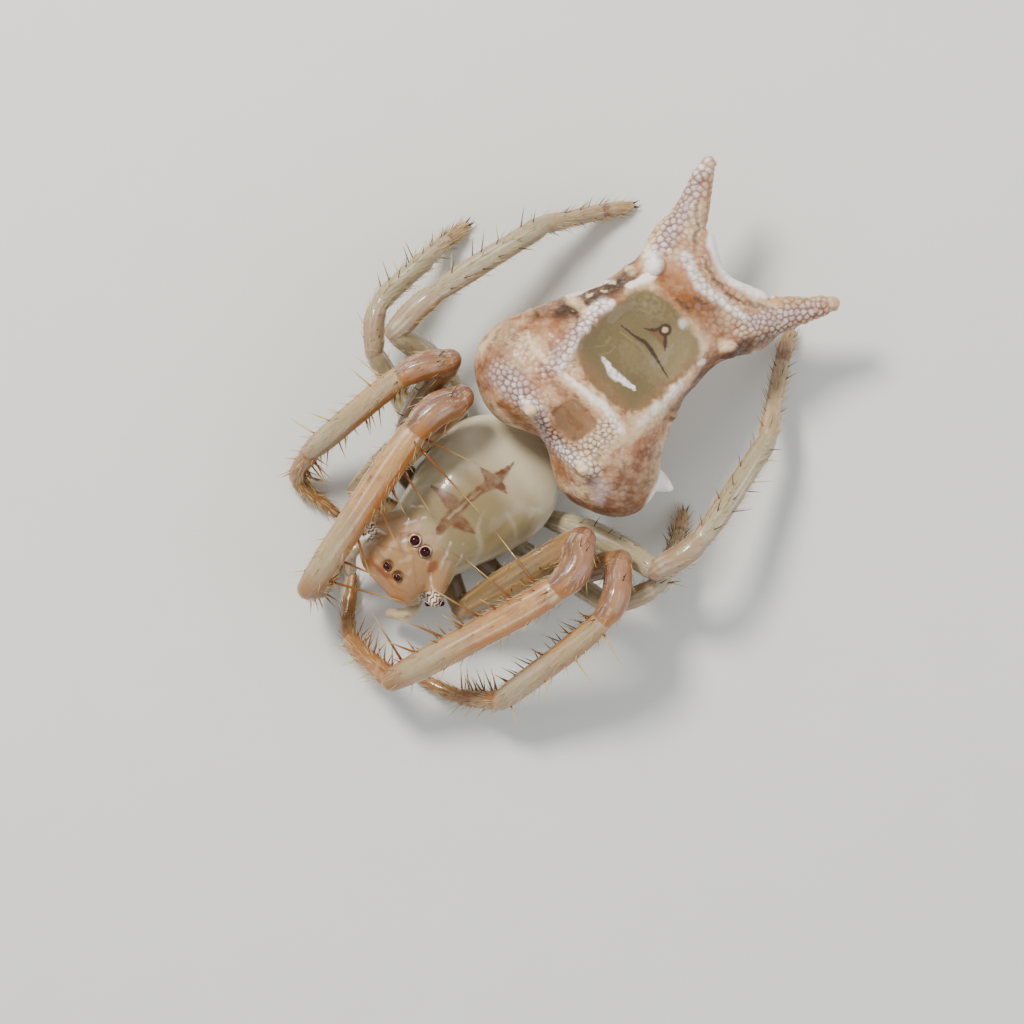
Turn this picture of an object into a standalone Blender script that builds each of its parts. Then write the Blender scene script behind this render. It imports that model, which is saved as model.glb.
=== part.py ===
# Fork-tailed arkys, a small spider, standing on its eight feet with its front legs held forward.
# +X is the animal's left, +Y its tail, +Z up, and the feet stand on z = 0.
# Sizes below are in millimetres from the waist, which is (0, 0); the meshes become metres at the end.
import math
import random

import bmesh
import bpy
from mathutils import Matrix, Vector

MM = 0.001
SEAM = 0.10              # clear gap between two pieces that meet
SEAT = 0.04              # clear gap round an eye in its socket
STANCE_CENTRE = (-0.154, 0.798)   # middle of the whole stance, which becomes the origin

# Head and chest
CARAPACE = {
    "front": -3.12, "rear": 0.64, "margin": 1.02, "underside": 0.90, "face_underside": 1.06,
    "face_start": -2.2, "face_length": 0.8, "face_lift": 0.10,
    "front_round": 0.30, "rear_round": 1.10, "squareness": 0.92, "rings": 20, "sides": 24,
}
CARAPACE_HALF_WIDTH = ((-3.12, 0.66), (-2.85, 0.72), (-2.20, 0.74), (-1.80, 0.84), (-1.20, 1.07),
                       (-0.60, 1.18), (0.64, 1.18))
CARAPACE_CREST = ((-3.12, 1.34), (-2.85, 1.54), (-2.40, 1.68), (-1.90, 1.71), (-1.20, 1.80),
                  (-0.50, 1.70), (0.00, 1.52), (0.64, 1.30))
EYE_CONE = {"root": (0.50, -2.08, 1.36), "tip": (0.84, -2.56, 1.40), "root_radius": 0.27, "tip_radius": 0.14}
EYES = {
    "eye_rear_middle": {"x": 0.13, "y": -2.12, "radius": 0.085},
    "eye_front_middle": {"x": 0.13, "y": -2.76, "radius": 0.075},
}
# Each eye at the blunt end of an eye cone: its way from the middle of that end
SIDE_EYES = {
    "eye_front_side": {"offset": (-0.03, -0.12, -0.05), "radius": 0.06},
    "eye_rear_side": {"offset": (0.12, 0.05, -0.02), "radius": 0.06},
}
STERNUM = {"front": -2.44, "rear": -0.18, "half_width": 0.52, "bottom": 0.38, "top": 0.80}
CHELICERA = {"top": (0.23, -2.74, 0.87), "tip": (0.18, -3.00, 0.34), "radius": 0.20}
PALP = {"root": (0.55, -2.62, 0.68), "elbow": (0.72, -3.03, 0.88), "tip": (0.50, -3.30, 0.52), "radius": 0.12}

# Abdomen
ABDOMEN = {
    "front": 0.10, "rear": 4.76, "front_round": 1.00, "rear_round": 0.30,
    "notch_depth": 0.52, "notch_width": 0.62, "notch_reach": 1.60,
    "fork_depth": 0.42, "fork_width": 0.62, "fork_reach": 0.90, "squareness": 0.86,
    "rings": 34, "sides": 40, "roll": 8.0,
}
ABDOMEN_HALF_WIDTH = ((0.10, 1.98), (0.90, 2.00), (1.40, 1.97), (2.00, 1.62), (2.45, 1.42), (3.00, 1.20),
                      (3.60, 1.13), (4.10, 1.15), (4.76, 1.18))
# How far the middle of the abdomen swings aside as it bends a little towards its right
ABDOMEN_SWAY = ((0.10, 0.0), (1.20, 0.0), (2.00, -0.16), (2.60, -0.17), (3.50, -0.10), (4.10, -0.05),
                (4.76, 0.0))
ABDOMEN_TOP = ((0.10, 2.50), (0.60, 2.88), (1.20, 3.06), (2.00, 2.98), (3.00, 2.58), (4.00, 2.28),
               (4.80, 2.12))
ABDOMEN_BOTTOM = ((0.10, 1.30), (0.60, 1.08), (1.40, 0.90), (2.40, 0.92), (3.20, 1.06), (4.00, 1.24),
                  (4.80, 1.36))
WINDOWS = (
    {"middle": (0.0, 2.78), "half_width": 0.80, "half_length": 0.94, "rim": 0.09, "rim_width": 0.20,
     "dip": 0.07},
    {"middle": (0.0, 1.20), "half_width": 0.38, "half_length": 0.32, "rim": 0.06, "rim_width": 0.34,
     "dip": 0.06},
)
WAIST = {"start": (0.0, -0.05, 0.60), "middle": (0.0, 0.62, 0.66), "end": (0.0, 1.40, 1.40), "radius": 0.14}
HORN_AXIS = ((0.58, 3.86, 1.76), (0.90, 4.42, 1.74), (1.15, 5.06, 1.76), (1.46, 5.58, 1.80),
             (1.62, 5.86, 1.83))
HORN_GIRTH = ((0, 0.44), (1, 0.45), (2, 0.29), (3, 0.17), (4, 0.09))
HORN_CUT = 1.72          # how far along its axis the horn leaves the abdomen, in steps of the axis
TUBERCLES = {
    "left brow": {"at": (0.66, 0.84), "lean": (-0.06, -0.42, 0.90), "length": 0.40, "radius": 0.20},
    "right brow": {"at": (-0.66, 0.84), "lean": (0.06, -0.42, 0.90), "length": 0.40, "radius": 0.20},
    "left shoulder": {"at": (1.84, 1.60), "lean": (0.88, 0.34, 0.32), "length": 0.44, "radius": 0.20},
    "right shoulder": {"at": (-1.72, 1.84), "lean": (-0.46, 0.34, 0.82), "length": 0.36, "radius": 0.24},
    "left flank": {"at": (1.10, 2.52), "lean": (0.80, 0.30, 0.52), "length": 0.14, "radius": 0.17},
    "right flank": {"at": (-1.40, 2.52), "lean": (-0.80, 0.30, 0.52), "length": 0.20, "radius": 0.17},
}
KNOBS = {"at": (0.96, 3.98), "radius": 0.17}
HORN_GRANULES = {"rows": 4, "around": 5, "length": 0.07, "radius": 0.065}
SPINNERETS = {"middle": (0.0, 3.55), "length": 0.34, "radius": 0.11, "spread": 0.13}

# Legs: the joints in the resting pose, from the chest outwards
LEGS = {
    "leg_1_left": {
        "coxa": (0.52, -2.05, 0.56), "trochanter": (1.30, -2.34, 0.74), "knee": (1.76, -0.02, 2.22),
        "patella": (2.06, -0.90, 2.48), "tibia": (1.37, -4.02, 1.22), "metatarsus": (0.34, -4.08, 0.40),
        "claws": (-0.40, -3.36, 0.06), "bow": (0.0, 0.0, 0.13),
    },
    "leg_1_right": {
        "coxa": (-0.52, -2.05, 0.56), "trochanter": (-1.42, -2.28, 0.74), "knee": (-1.38, 0.06, 2.27),
        "patella": (-1.48, -0.88, 2.52), "tibia": (-0.74, -4.02, 1.42), "metatarsus": (-0.62, -3.84, 0.36),
        "claws": (-0.80, -3.16, 0.06), "bow": (0.0, 0.0, 0.13),
    },
    "leg_2_left": {
        "coxa": (0.52, -1.48, 0.54), "trochanter": (1.24, -1.52, 0.60), "knee": (2.46, 0.22, 1.86),
        "patella": (2.98, -0.66, 2.10), "tibia": (2.88, -2.88, 0.95), "metatarsus": (2.34, -3.38, 0.30),
        "claws": (1.68, -3.68, 0.06), "bow": (0.14, 0.0, 0.02),
    },
    "leg_2_right": {
        "coxa": (-0.52, -1.48, 0.54), "trochanter": (-1.26, -1.50, 0.60), "knee": (-1.98, 0.36, 1.95),
        "patella": (-2.32, -0.42, 2.12), "tibia": (-2.46, -2.40, 1.00), "metatarsus": (-2.26, -2.94, 0.30),
        "claws": (-1.42, -2.84, 0.06), "bow": (-0.16, 0.0, 0.02),
    },
    "leg_3_left": {
        "coxa": (0.52, -0.91, 0.54), "trochanter": (1.16, -0.88, 0.52), "knee": (2.92, -0.42, 1.20),
        "patella": (3.18, 0.34, 1.18), "tibia": (3.00, 1.00, 0.62), "metatarsus": (2.82, 1.30, 0.26),
        "claws": (2.62, 1.60, 0.06), "bow": (0.0, 0.0, -0.22),
    },
    "leg_3_right": {
        "coxa": (-0.52, -0.91, 0.54), "trochanter": (-1.16, -0.88, 0.52), "knee": (-2.98, -0.50, 1.20),
        "patella": (-3.50, 0.10, 1.22), "tibia": (-3.58, 1.26, 0.72), "metatarsus": (-3.60, 1.72, 0.26),
        "claws": (-3.58, 2.14, 0.06), "bow": (0.0, 0.0, -0.22),
    },
    "leg_4_left": {
        "coxa": (0.52, -0.34, 0.54), "trochanter": (1.10, -0.20, 0.54), "knee": (2.98, 0.56, 1.62),
        "patella": (3.10, 1.46, 1.80), "tibia": (2.64, 3.46, 0.95), "metatarsus": (1.80, 4.62, 0.30),
        "claws": (1.54, 5.06, 0.06), "bow": (0.0, 0.10, -0.14),
    },
    "leg_4_right": {
        "coxa": (-0.52, -0.34, 0.54), "trochanter": (-1.10, -0.20, 0.54), "knee": (-2.98, 0.00, 1.68),
        "patella": (-2.98, 0.98, 1.86), "tibia": (-2.66, 3.10, 1.00), "metatarsus": (-2.18, 4.02, 0.30),
        "claws": (-1.92, 4.48, 0.06), "bow": (0.0, 0.24, -0.12),
    },
}
# Radius of each pair's segments at their thickest
GIRTH = {
    1: {"coxa": 0.22, "femur": 0.30, "patella": 0.29, "tibia": 0.27, "metatarsus": 0.19, "tarsus": 0.13},
    2: {"coxa": 0.22, "femur": 0.24, "patella": 0.25, "tibia": 0.22, "metatarsus": 0.165, "tarsus": 0.125},
    3: {"coxa": 0.21, "femur": 0.20, "patella": 0.19, "tibia": 0.18, "metatarsus": 0.15, "tarsus": 0.12},
    4: {"coxa": 0.22, "femur": 0.24, "patella": 0.22, "tibia": 0.20, "metatarsus": 0.16, "tarsus": 0.125},
}
LEG_SIDES = 12
EMBRACE = (0.0, -1.5)    # the place between the front legs that their inner spines point to

# Long spines inside the front tibiae: how far along the tibia each stands, and its way from root to tip
CATCHING_SPINES = {
    "leg_1_left": (
        (0.10, (-1.17, 0.10, -0.30)), (0.25, (-1.06, -0.14, -0.20)), (0.43, (-1.05, -0.33, -0.14)),
        (0.62, (-0.98, -0.46, -0.08)), (0.77, (-0.63, -0.32, -0.08)),
    ),
    "leg_1_right": (
        (0.06, (1.71, 0.02, -0.10)), (0.22, (0.99, -0.17, -0.26)), (0.43, (0.60, -0.15, -0.08)),
        (0.61, (0.88, -0.39, -0.08)), (0.93, (1.10, 0.58, -0.10)),
    ),
}
CATCHING_RADIUS = 0.085
# Rows of shorter spines: the limb and its stretch, and the turn from its top (0) over its inner side (90)
SPINE_ROWS = (
    {"legs": ("leg_1_left",), "limb": "shank", "from": 1.45, "to": 1.80, "count": 3,
     "turn": 125, "length": 0.55, "lean": 0.30, "radius": 0.07},
    {"legs": ("leg_2_left",), "limb": "shank", "from": 1.20, "to": 1.80, "count": 4,
     "turn": 125, "length": 0.50, "lean": 0.30, "radius": 0.07},
    {"legs": ("leg_2",), "limb": "shank", "from": 1.16, "to": 1.86, "count": 4,
     "turn": 80, "length": 0.46, "lean": 0.60, "radius": 0.07},
    {"legs": ("leg_1",), "limb": "shank", "from": 1.28, "to": 1.84, "count": 3,
     "turn": -85, "length": 0.50, "lean": 0.80, "radius": 0.06},
    {"legs": ("leg_2",), "limb": "shank", "from": 1.12, "to": 1.88, "count": 4,
     "turn": -80, "length": 0.56, "lean": 0.15, "radius": 0.06},
    {"legs": ("leg_1_left", "leg_2"), "limb": "foot", "from": 0.30, "to": 0.85, "count": 3,
     "turn": 80, "length": 0.50, "lean": 0.60, "radius": 0.06},
    {"legs": ("leg_1_right",), "limb": "foot", "from": 0.35, "to": 0.75, "count": 2,
     "turn": -80, "length": 0.40, "lean": 0.60, "radius": 0.06},
    {"legs": ("leg_1", "leg_2"), "limb": "shank", "from": 0.45, "to": 0.45, "count": 1,
     "turn": -12, "length": 0.26, "lean": -0.30, "radius": 0.05},
    {"legs": ("leg_3", "leg_4"), "limb": "shank", "from": 1.28, "to": 1.78, "count": 2,
     "turn": -70, "length": 0.38, "lean": 0.60, "radius": 0.05},
    {"legs": ("leg_4",), "limb": "shank", "from": 1.10, "to": 1.55, "count": 2,
     "turn": 35, "length": 0.34, "lean": 0.60, "radius": 0.05},
    {"legs": ("leg_4",), "limb": "foot", "from": 0.35, "to": 0.75, "count": 2,
     "turn": -60, "length": 0.30, "lean": 0.80, "radius": 0.05},
    {"legs": ("leg_1", "leg_4"), "limb": "thigh", "from": 0.70, "to": 1.10, "count": 2,
     "turn": -25, "length": 0.26, "lean": 0.50, "radius": 0.05},
)

COLOURS = {
    "cream_granules": {"colour": (0.74, 0.62, 0.50), "roughness": 0.45},
    "clear_shell": {"colour": (0.52, 0.47, 0.33), "roughness": 0.28},
    "pale_leg": {"colour": (0.55, 0.50, 0.40), "roughness": 0.32},
    "amber_leg": {"colour": (0.50, 0.27, 0.13), "roughness": 0.30},
    "eye_black": {"colour": (0.03, 0.01, 0.01), "roughness": 0.08},
}


# Curves and tubes

def stations(table, at):
    """The value of a table of (place, value) pairs at a place, smoothly between its rows."""
    if at <= table[0][0]:
        return table[0][1]
    for (a, low), (b, high) in zip(table, table[1:]):
        if at <= b:
            share = (at - a) / (b - a)
            return low + (high - low) * (3 * share ** 2 - 2 * share ** 3)
    return table[-1][1]


def on_curve(points, step):
    """A point on the smooth curve through the points; step 1.5 is half way from the second to the third."""
    last = len(points) - 1
    start = min(int(step), last - 1)
    share = step - start
    b, c = points[start], points[start + 1]
    a = points[start - 1] if start > 0 else 2 * b - c
    d = points[start + 2] if start + 2 <= last else 2 * c - b
    bend = 2 * b + (c - a) * share + (2 * a - 5 * b + 4 * c - d) * share ** 2
    return 0.5 * (bend + (3 * b - a - 3 * c + d) * share ** 3)


def tube(points, girth, sides=LEG_SIDES, rings=4, span=None, blunt=(False, False)):
    """A closed tube along a smooth curve, with domed ends, or flat ones where blunt says so."""
    points = [Vector(p) for p in points]
    first, last = span or (0, len(points) - 1)
    count = max(2, round(rings * (last - first)))
    steps = [first + (last - first) * i / count for i in range(count + 1)]
    centres = [on_curve(points, step) for step in steps]
    radii = [stations(girth, step) for step in steps]
    ways = [(b - a).normalized() for a, b in zip(centres, centres[1:])]
    ways = [ways[0]] + [(a + b).normalized() for a, b in zip(ways, ways[1:])] + [ways[-1]]
    domes = (0.45, 0.85)
    if not blunt[0]:
        for lean in domes:
            radii.insert(0, stations(girth, first) * math.sqrt(1 - lean ** 2))
            centres.insert(0, on_curve(points, first) - ways[0] * stations(girth, first) * lean)
            ways.insert(0, ways[0])
    if not blunt[1]:
        for lean in domes:
            radii.append(stations(girth, last) * math.sqrt(1 - lean ** 2))
            centres.append(on_curve(points, last) + ways[-1] * stations(girth, last) * lean)
            ways.append(ways[-1])
    across = ways[0].orthogonal().normalized()
    bm = bmesh.new()
    turns = [2 * math.pi * k / sides for k in range(sides)]
    loops = []
    for centre, way, radius in zip(centres, ways, radii):
        across = (across - way * across.dot(way)).normalized()
        side = way.cross(across)
        loops.append([bm.verts.new(centre + radius * (across * math.cos(t) + side * math.sin(t)))
                      for t in turns])
    skin_loops(bm, loops)
    return bm


def skin_loops(bm, loops):
    """Faces between neighbouring loops of points, and a cap at each end."""
    for low, high in zip(loops, loops[1:]):
        for k in range(len(low)):
            n = (k + 1) % len(low)
            bm.faces.new((low[k], low[n], high[n], high[k]))
    bm.faces.new(list(reversed(loops[0])))
    bm.faces.new(loops[-1])
    bmesh.ops.recalc_face_normals(bm, faces=bm.faces)


def spine(root, tip, radius, sides=5):
    """A tapered spike from root to tip."""
    root, tip = Vector(root), Vector(tip)
    way = (tip - root).normalized()
    across = way.orthogonal().normalized()
    side = way.cross(across)
    bm = bmesh.new()
    turns = [2 * math.pi * k / sides for k in range(sides)]
    loops = []
    for share, thick in ((0.0, 1.0), (0.55, 0.55)):
        centre = root.lerp(tip, share)
        loops.append([bm.verts.new(centre + radius * thick * (across * math.cos(t) + side * math.sin(t)))
                      for t in turns])
    point = bm.verts.new(tip)
    bm.faces.new(list(reversed(loops[0])))
    for k in range(sides):
        n = (k + 1) % sides
        bm.faces.new((loops[0][k], loops[0][n], loops[1][n], loops[1][k]))
        bm.faces.new((loops[1][k], loops[1][n], point))
    bmesh.ops.recalc_face_normals(bm, faces=bm.faces)
    return bm


def ball(centre, radius, detail=2):
    bm = bmesh.new()
    bmesh.ops.create_icosphere(bm, subdivisions=detail, radius=radius, matrix=Matrix.Translation(centre))
    return bm


# Joining, trimming and finishing

def as_object(bm, name):
    mesh = bpy.data.meshes.new(name)
    bm.to_mesh(mesh)
    bm.free()
    made = bpy.data.objects.new(name, mesh)
    bpy.context.scene.collection.objects.link(made)
    return made


def largest_surface(bm):
    """Drops every closed surface but the one that encloses the most."""
    left, islands = set(bm.faces), []
    while left:
        queue, island = [left.pop()], []
        while queue:
            face = queue.pop()
            island.append(face)
            for edge in face.edges:
                for near in edge.link_faces:
                    if near in left:
                        left.remove(near)
                        queue.append(near)
        islands.append(island)

    def enclosed(island):
        return sum(f.calc_center_median().dot(f.normal) * f.calc_area() for f in island) / 3

    islands.sort(key=enclosed, reverse=True)
    for island in islands[1:]:
        bmesh.ops.delete(bm, geom=island, context="FACES")


def combine(pieces, operation="UNION", solver="EXACT"):
    """One body from the first piece and the others, which are added to it or cut from it."""
    if len(pieces) == 1:
        return pieces[0]
    body = as_object(pieces[0], "body")
    group = bpy.data.collections.new("others")
    bpy.context.scene.collection.children.link(group)
    for bm in pieces[1:]:
        other = as_object(bm, "other")
        bpy.context.scene.collection.objects.unlink(other)
        group.objects.link(other)
    join = body.modifiers.new("join", "BOOLEAN")
    join.operation = operation
    join.operand_type = "COLLECTION"
    join.collection = group
    join.solver = solver
    shaped = body.evaluated_get(bpy.context.evaluated_depsgraph_get()).to_mesh()
    bm = bmesh.new()
    bm.from_mesh(shaped)
    for other in list(group.objects) + [body]:
        bpy.data.objects.remove(other, do_unlink=True)
    bpy.data.collections.remove(group)
    bmesh.ops.remove_doubles(bm, verts=bm.verts, dist=0.002)
    bmesh.ops.dissolve_degenerate(bm, edges=bm.edges, dist=0.001)
    largest_surface(bm)
    return bm


def trim(bm, point, keep):
    """Cuts a body by the plane through a point and closes it; keep is the way towards the part that stays."""
    everything = bm.verts[:] + bm.edges[:] + bm.faces[:]
    cut = bmesh.ops.bisect_plane(bm, geom=everything, plane_co=point, plane_no=keep, clear_inner=True)
    rim = [part for part in cut["geom_cut"] if isinstance(part, bmesh.types.BMEdge)]
    if rim:
        bmesh.ops.holes_fill(bm, edges=rim, sides=0)
        bmesh.ops.recalc_face_normals(bm, faces=bm.faces)
        bmesh.ops.remove_doubles(bm, verts=bm.verts, dist=0.002)
        bmesh.ops.dissolve_degenerate(bm, edges=bm.edges, dist=0.001)
        largest_surface(bm)


def material(name):
    made = bpy.data.materials.get(name)
    if made:
        return made
    made = bpy.data.materials.new(name)
    made.use_nodes = True
    shader = made.node_tree.nodes["Principled BSDF"]
    shader.inputs["Base Color"].default_value = (*COLOURS[name]["colour"], 1)
    shader.inputs["Roughness"].default_value = COLOURS[name]["roughness"]
    shader.inputs["Metallic"].default_value = 0.0
    made.diffuse_color = (*COLOURS[name]["colour"], 1)
    return made


def finish(bm, name, finish_name, root, pose=None):
    """Names a body, colours it, turns it into metres and puts its origin at the point that it grows from."""
    root = Vector(root)
    if pose:
        bmesh.ops.transform(bm, matrix=pose, verts=bm.verts)
        root = pose @ root
    bmesh.ops.triangulate(bm, faces=[f for f in bm.faces if len(f.verts) > 4])
    bmesh.ops.transform(bm, matrix=Matrix.Scale(MM, 4) @ Matrix.Translation(-root), verts=bm.verts)
    made = as_object(bm, name)
    made.location = (root - Vector((*STANCE_CENTRE, 0))) * MM
    made.data.materials.append(material(finish_name))
    made.data.shade_smooth()
    made.data.set_sharp_from_angle(angle=math.radians(40))
    made.parent = bpy.data.objects["spider"]
    return made


def mirrored(point, side):
    return Vector((point[0] * side, point[1], point[2]))


# Head and chest

def rounded(sine, squareness):
    return math.copysign(abs(sine) ** squareness, sine)


def end_round(at, front, rear, front_round, rear_round):
    """How full the outline is near its two ends: 0 at an end, 1 past the rounding."""
    ahead = min(1.0, max(0.0, (at - front) / front_round))
    behind = min(1.0, max(0.0, (rear - at) / rear_round))
    return math.sqrt(1 - (1 - ahead) ** 2) * math.sqrt(1 - (1 - behind) ** 2)


def carapace_size(y):
    """Half width of the back shield, and how full it is near its blunt face and its round rear."""
    size = CARAPACE
    fullness = end_round(y, size["front"], size["rear"], size["front_round"], size["rear_round"])
    bluntness = 0.6 if y < size["front"] + 2 * size["front_round"] else 1.0
    return stations(CARAPACE_HALF_WIDTH, y) * fullness ** bluntness, fullness


def carapace_top(x, y):
    """Height of the back shield's upper surface."""
    margin, squareness = CARAPACE["margin"], CARAPACE["squareness"]
    half_width, fullness = carapace_size(y)
    cosine = min(1.0, abs(x) / half_width) ** (1 / squareness)
    dome = math.sqrt(1 - cosine ** 2) ** squareness
    return margin + (stations(CARAPACE_CREST, y) - margin) * fullness * dome


def carapace_shell():
    """The back shield of the head and chest: round behind, narrow and blunt in front."""
    size = CARAPACE
    turns = [2 * math.pi * k / size["sides"] for k in range(size["sides"])]
    bm = bmesh.new()
    loops = []
    for i in range(1, size["rings"]):
        share = (1 - math.cos(math.pi * i / size["rings"])) / 2
        y = size["front"] + (size["rear"] - size["front"]) * share
        half_width, fullness = carapace_size(y)
        face = max(0.0, min(1.0, (size["face_start"] - y) / size["face_length"]))
        middle = size["margin"] + size["face_lift"] * face
        under = size["underside"] + (size["face_underside"] - size["underside"]) * face
        rise = (stations(CARAPACE_CREST, y) - middle) * fullness
        depth = (middle - under) * fullness
        loop = []
        for turn in turns:
            x = half_width * rounded(math.cos(turn), size["squareness"])
            height = rounded(math.sin(turn), size["squareness"])
            loop.append(bm.verts.new((x, y, middle + height * (rise if height > 0 else depth))))
        loops.append(loop)
    skin_loops(bm, loops)
    return bm


def eye_places():
    """Every eye's centre and radius, by name."""
    places = {}
    for side, word in ((1, "left"), (-1, "right")):
        for name, eye in EYES.items():
            height = carapace_top(eye["x"], eye["y"]) + 0.2 * eye["radius"]
            places[f"{name}_{word}"] = (Vector((eye["x"] * side, eye["y"], height)), eye["radius"])
        for name, eye in SIDE_EYES.items():
            end = mirrored(EYE_CONE["tip"], side) + mirrored(eye["offset"], side)
            places[f"{name}_{word}"] = (end, eye["radius"])
    return places


def make_carapace():
    pieces = [carapace_shell()]
    for side in (1, -1):
        root, tip = mirrored(EYE_CONE["root"], side), mirrored(EYE_CONE["tip"], side)
        taper = ((0, EYE_CONE["root_radius"]), (1, EYE_CONE["tip_radius"]))
        pieces.append(tube([root, tip], taper, sides=10))
    shell = combine(pieces)
    sockets = [ball(centre, radius + SEAT) for centre, radius in eye_places().values()]
    shell = combine([shell] + sockets, "DIFFERENCE")
    finish(shell, "carapace", "clear_shell", (0, 0, CARAPACE["underside"]))


def make_eyes():
    for name, (centre, radius) in eye_places().items():
        finish(ball(centre, radius), name, "eye_black", centre)


def make_sternum():
    """The breast plate between the hips, a shield that narrows towards the mouth."""
    size = STERNUM
    wide, front, rear = size["half_width"], size["front"], size["rear"]
    half = [(wide * 0.45, front), (wide * 0.62, front + 0.18), (wide, front + 0.42), (wide, rear - 0.24),
            (wide * 0.5, rear)]
    outline = half + [(-x, y) for x, y in reversed(half)]
    bm = bmesh.new()
    loops = []
    for z, inset in ((size["bottom"], 0.82), (size["bottom"] + 0.08, 1.0), (size["top"], 1.0)):
        loops.append([bm.verts.new((x * inset, y, z)) for x, y in outline])
    skin_loops(bm, loops)
    finish(bm, "sternum", "clear_shell", (0, size["front"], size["bottom"]))


def make_mouth_parts():
    for side, word in ((1, "left"), (-1, "right")):
        top, tip = mirrored(CHELICERA["top"], side), mirrored(CHELICERA["tip"], side)
        radius = CHELICERA["radius"]
        swell = ((0, radius * 0.85), (0.4, radius), (1, radius * 0.55))
        jaw = tube([top, tip], swell, sides=10, rings=5, blunt=(True, False))
        fang = spine(tip + Vector((0, 0.0, 0.05)), tip + Vector((-0.10 * side, 0.12, -0.16)), 0.06)
        jaw = combine([jaw, fang])
        trim(jaw, (0.04 * side, 0, 0), (side, 0, 0))
        finish(jaw, f"chelicera_{word}", "amber_leg", top)
        root, elbow, end = (mirrored(PALP[part], side) for part in ("root", "elbow", "tip"))
        swell = ((0, PALP["radius"] * 0.9), (1, PALP["radius"]), (2, PALP["radius"] * 0.8))
        palp = tube([root, elbow, end], swell, sides=8, rings=5)
        finish(palp, f"palp_{word}", "pale_leg", root)


# Abdomen

def abdomen_relief(x, y):
    """Height added to the back: granular rims round two shallow clear windows."""
    height = 0.0
    for window in WINDOWS:
        across = abs(x - window["middle"][0]) / window["half_width"]
        along = abs(y - window["middle"][1]) / window["half_length"]
        reach = (across ** 3 + along ** 3) ** (1 / 3)
        inside = min(1.0, max(0.0, (1.0 - reach) / 0.3))
        height += window["rim"] * math.exp(-((reach - 1.05) / window["rim_width"]) ** 2)
        height -= window["dip"] * (3 * inside ** 2 - 2 * inside ** 3)
    return height


def abdomen_shift(x, y):
    """How far a place stands back from the plain oval: most in the front notch and at the tail corners."""
    size = ABDOMEN
    notch = max(0.0, 1 - (y - size["front"]) / size["notch_reach"])
    fork = max(0.0, 1 - (size["rear"] - y) / size["fork_reach"])
    back = size["notch_depth"] * math.exp(-(x / size["notch_width"]) ** 2) * notch
    return back + size["fork_depth"] * (1 - math.exp(-(x / size["fork_width"]) ** 2)) * fork


def abdomen_point(y, turn):
    size = ABDOMEN
    fullness = end_round(y, size["front"], size["rear"], size["front_round"], size["rear_round"])
    top, bottom = stations(ABDOMEN_TOP, y), stations(ABDOMEN_BOTTOM, y)
    middle, half_height = (top + bottom) / 2, (top - bottom) / 2 * fullness ** 0.75
    width = fullness if y < size["rear"] - size["rear_round"] else fullness ** 0.3
    x = stations(ABDOMEN_HALF_WIDTH, y) * width * rounded(math.cos(turn), size["squareness"])
    z = middle + half_height * rounded(math.sin(turn), size["squareness"])
    if math.sin(turn) > 0:
        z += abdomen_relief(x, y) * min(1.0, 2 * math.sin(turn)) * fullness
    return Vector((x + stations(ABDOMEN_SWAY, y), y + abdomen_shift(x, y), z))


def abdomen_shell():
    size = ABDOMEN
    bm = bmesh.new()
    loops = []
    for i in range(1, size["rings"]):
        share = (1 - math.cos(math.pi * i / size["rings"])) / 2
        y = size["front"] + (size["rear"] - size["front"]) * share
        turns = [2 * math.pi * k / size["sides"] for k in range(size["sides"])]
        loops.append([bm.verts.new(abdomen_point(y, turn)) for turn in turns])
    skin_loops(bm, loops)
    return bm


def on_back(x, y):
    """The point of the abdomen's upper surface nearest to a place seen from above."""
    best = None
    for i in range(200):
        at = ABDOMEN["front"] + (ABDOMEN["rear"] - ABDOMEN["front"]) * (i + 0.5) / 200
        for k in range(61):
            point = abdomen_point(at, math.pi * k / 60 if x >= 0 else math.pi * (1 - k / 60))
            gap = math.hypot(point.x - x, point.y - y)
            if best is None or gap < best[0]:
                best = (gap, point)
    return best[1]


def abdomen_pose():
    """The abdomen is rolled a little on its stalk, with its left side lower."""
    stalk = Vector(WAIST["end"])
    turn = Matrix.Rotation(math.radians(ABDOMEN["roll"]), 4, "Y")
    return Matrix.Translation(stalk) @ turn @ Matrix.Translation(-stalk)


def horn_curve(side):
    return [mirrored(point, side) for point in HORN_AXIS]


def fork_plane(side, outwards):
    """Where a tail horn leaves the abdomen, moved along the horn; and the way along the horn there."""
    curve = horn_curve(side)
    start = on_curve(curve, HORN_CUT)
    way = (on_curve(curve, HORN_CUT + 0.05) - start).normalized()
    return start + way * outwards, way


def make_abdomen():
    pose = abdomen_pose()
    horns = [tube(horn_curve(side), HORN_GIRTH, sides=14, rings=5) for side in (1, -1)]
    whole = combine([abdomen_shell()] + horns)
    make_horns(whole, pose)
    for side in (1, -1):
        start, way = fork_plane(side, 0.0)
        trim(whole, start, -way)
    unrolled = pose.inverted()
    stalk = [unrolled @ Vector(WAIST[part]) for part in ("start", "middle", "end")]
    pieces = [whole, tube(stalk, ((0, WAIST["radius"]), (2, WAIST["radius"])), sides=10, blunt=(True, True))]
    for bump in TUBERCLES.values():
        foot, lean = on_back(*bump["at"]), Vector(bump["lean"]).normalized()
        pieces.append(spine(foot - lean * 0.14, foot + lean * bump["length"], bump["radius"], sides=7))
    for side in (1, -1):
        pieces.append(ball(on_back(KNOBS["at"][0] * side, KNOBS["at"][1]), KNOBS["radius"]))
    finish(combine(pieces), "abdomen", "cream_granules", stalk[0], pose)


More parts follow.
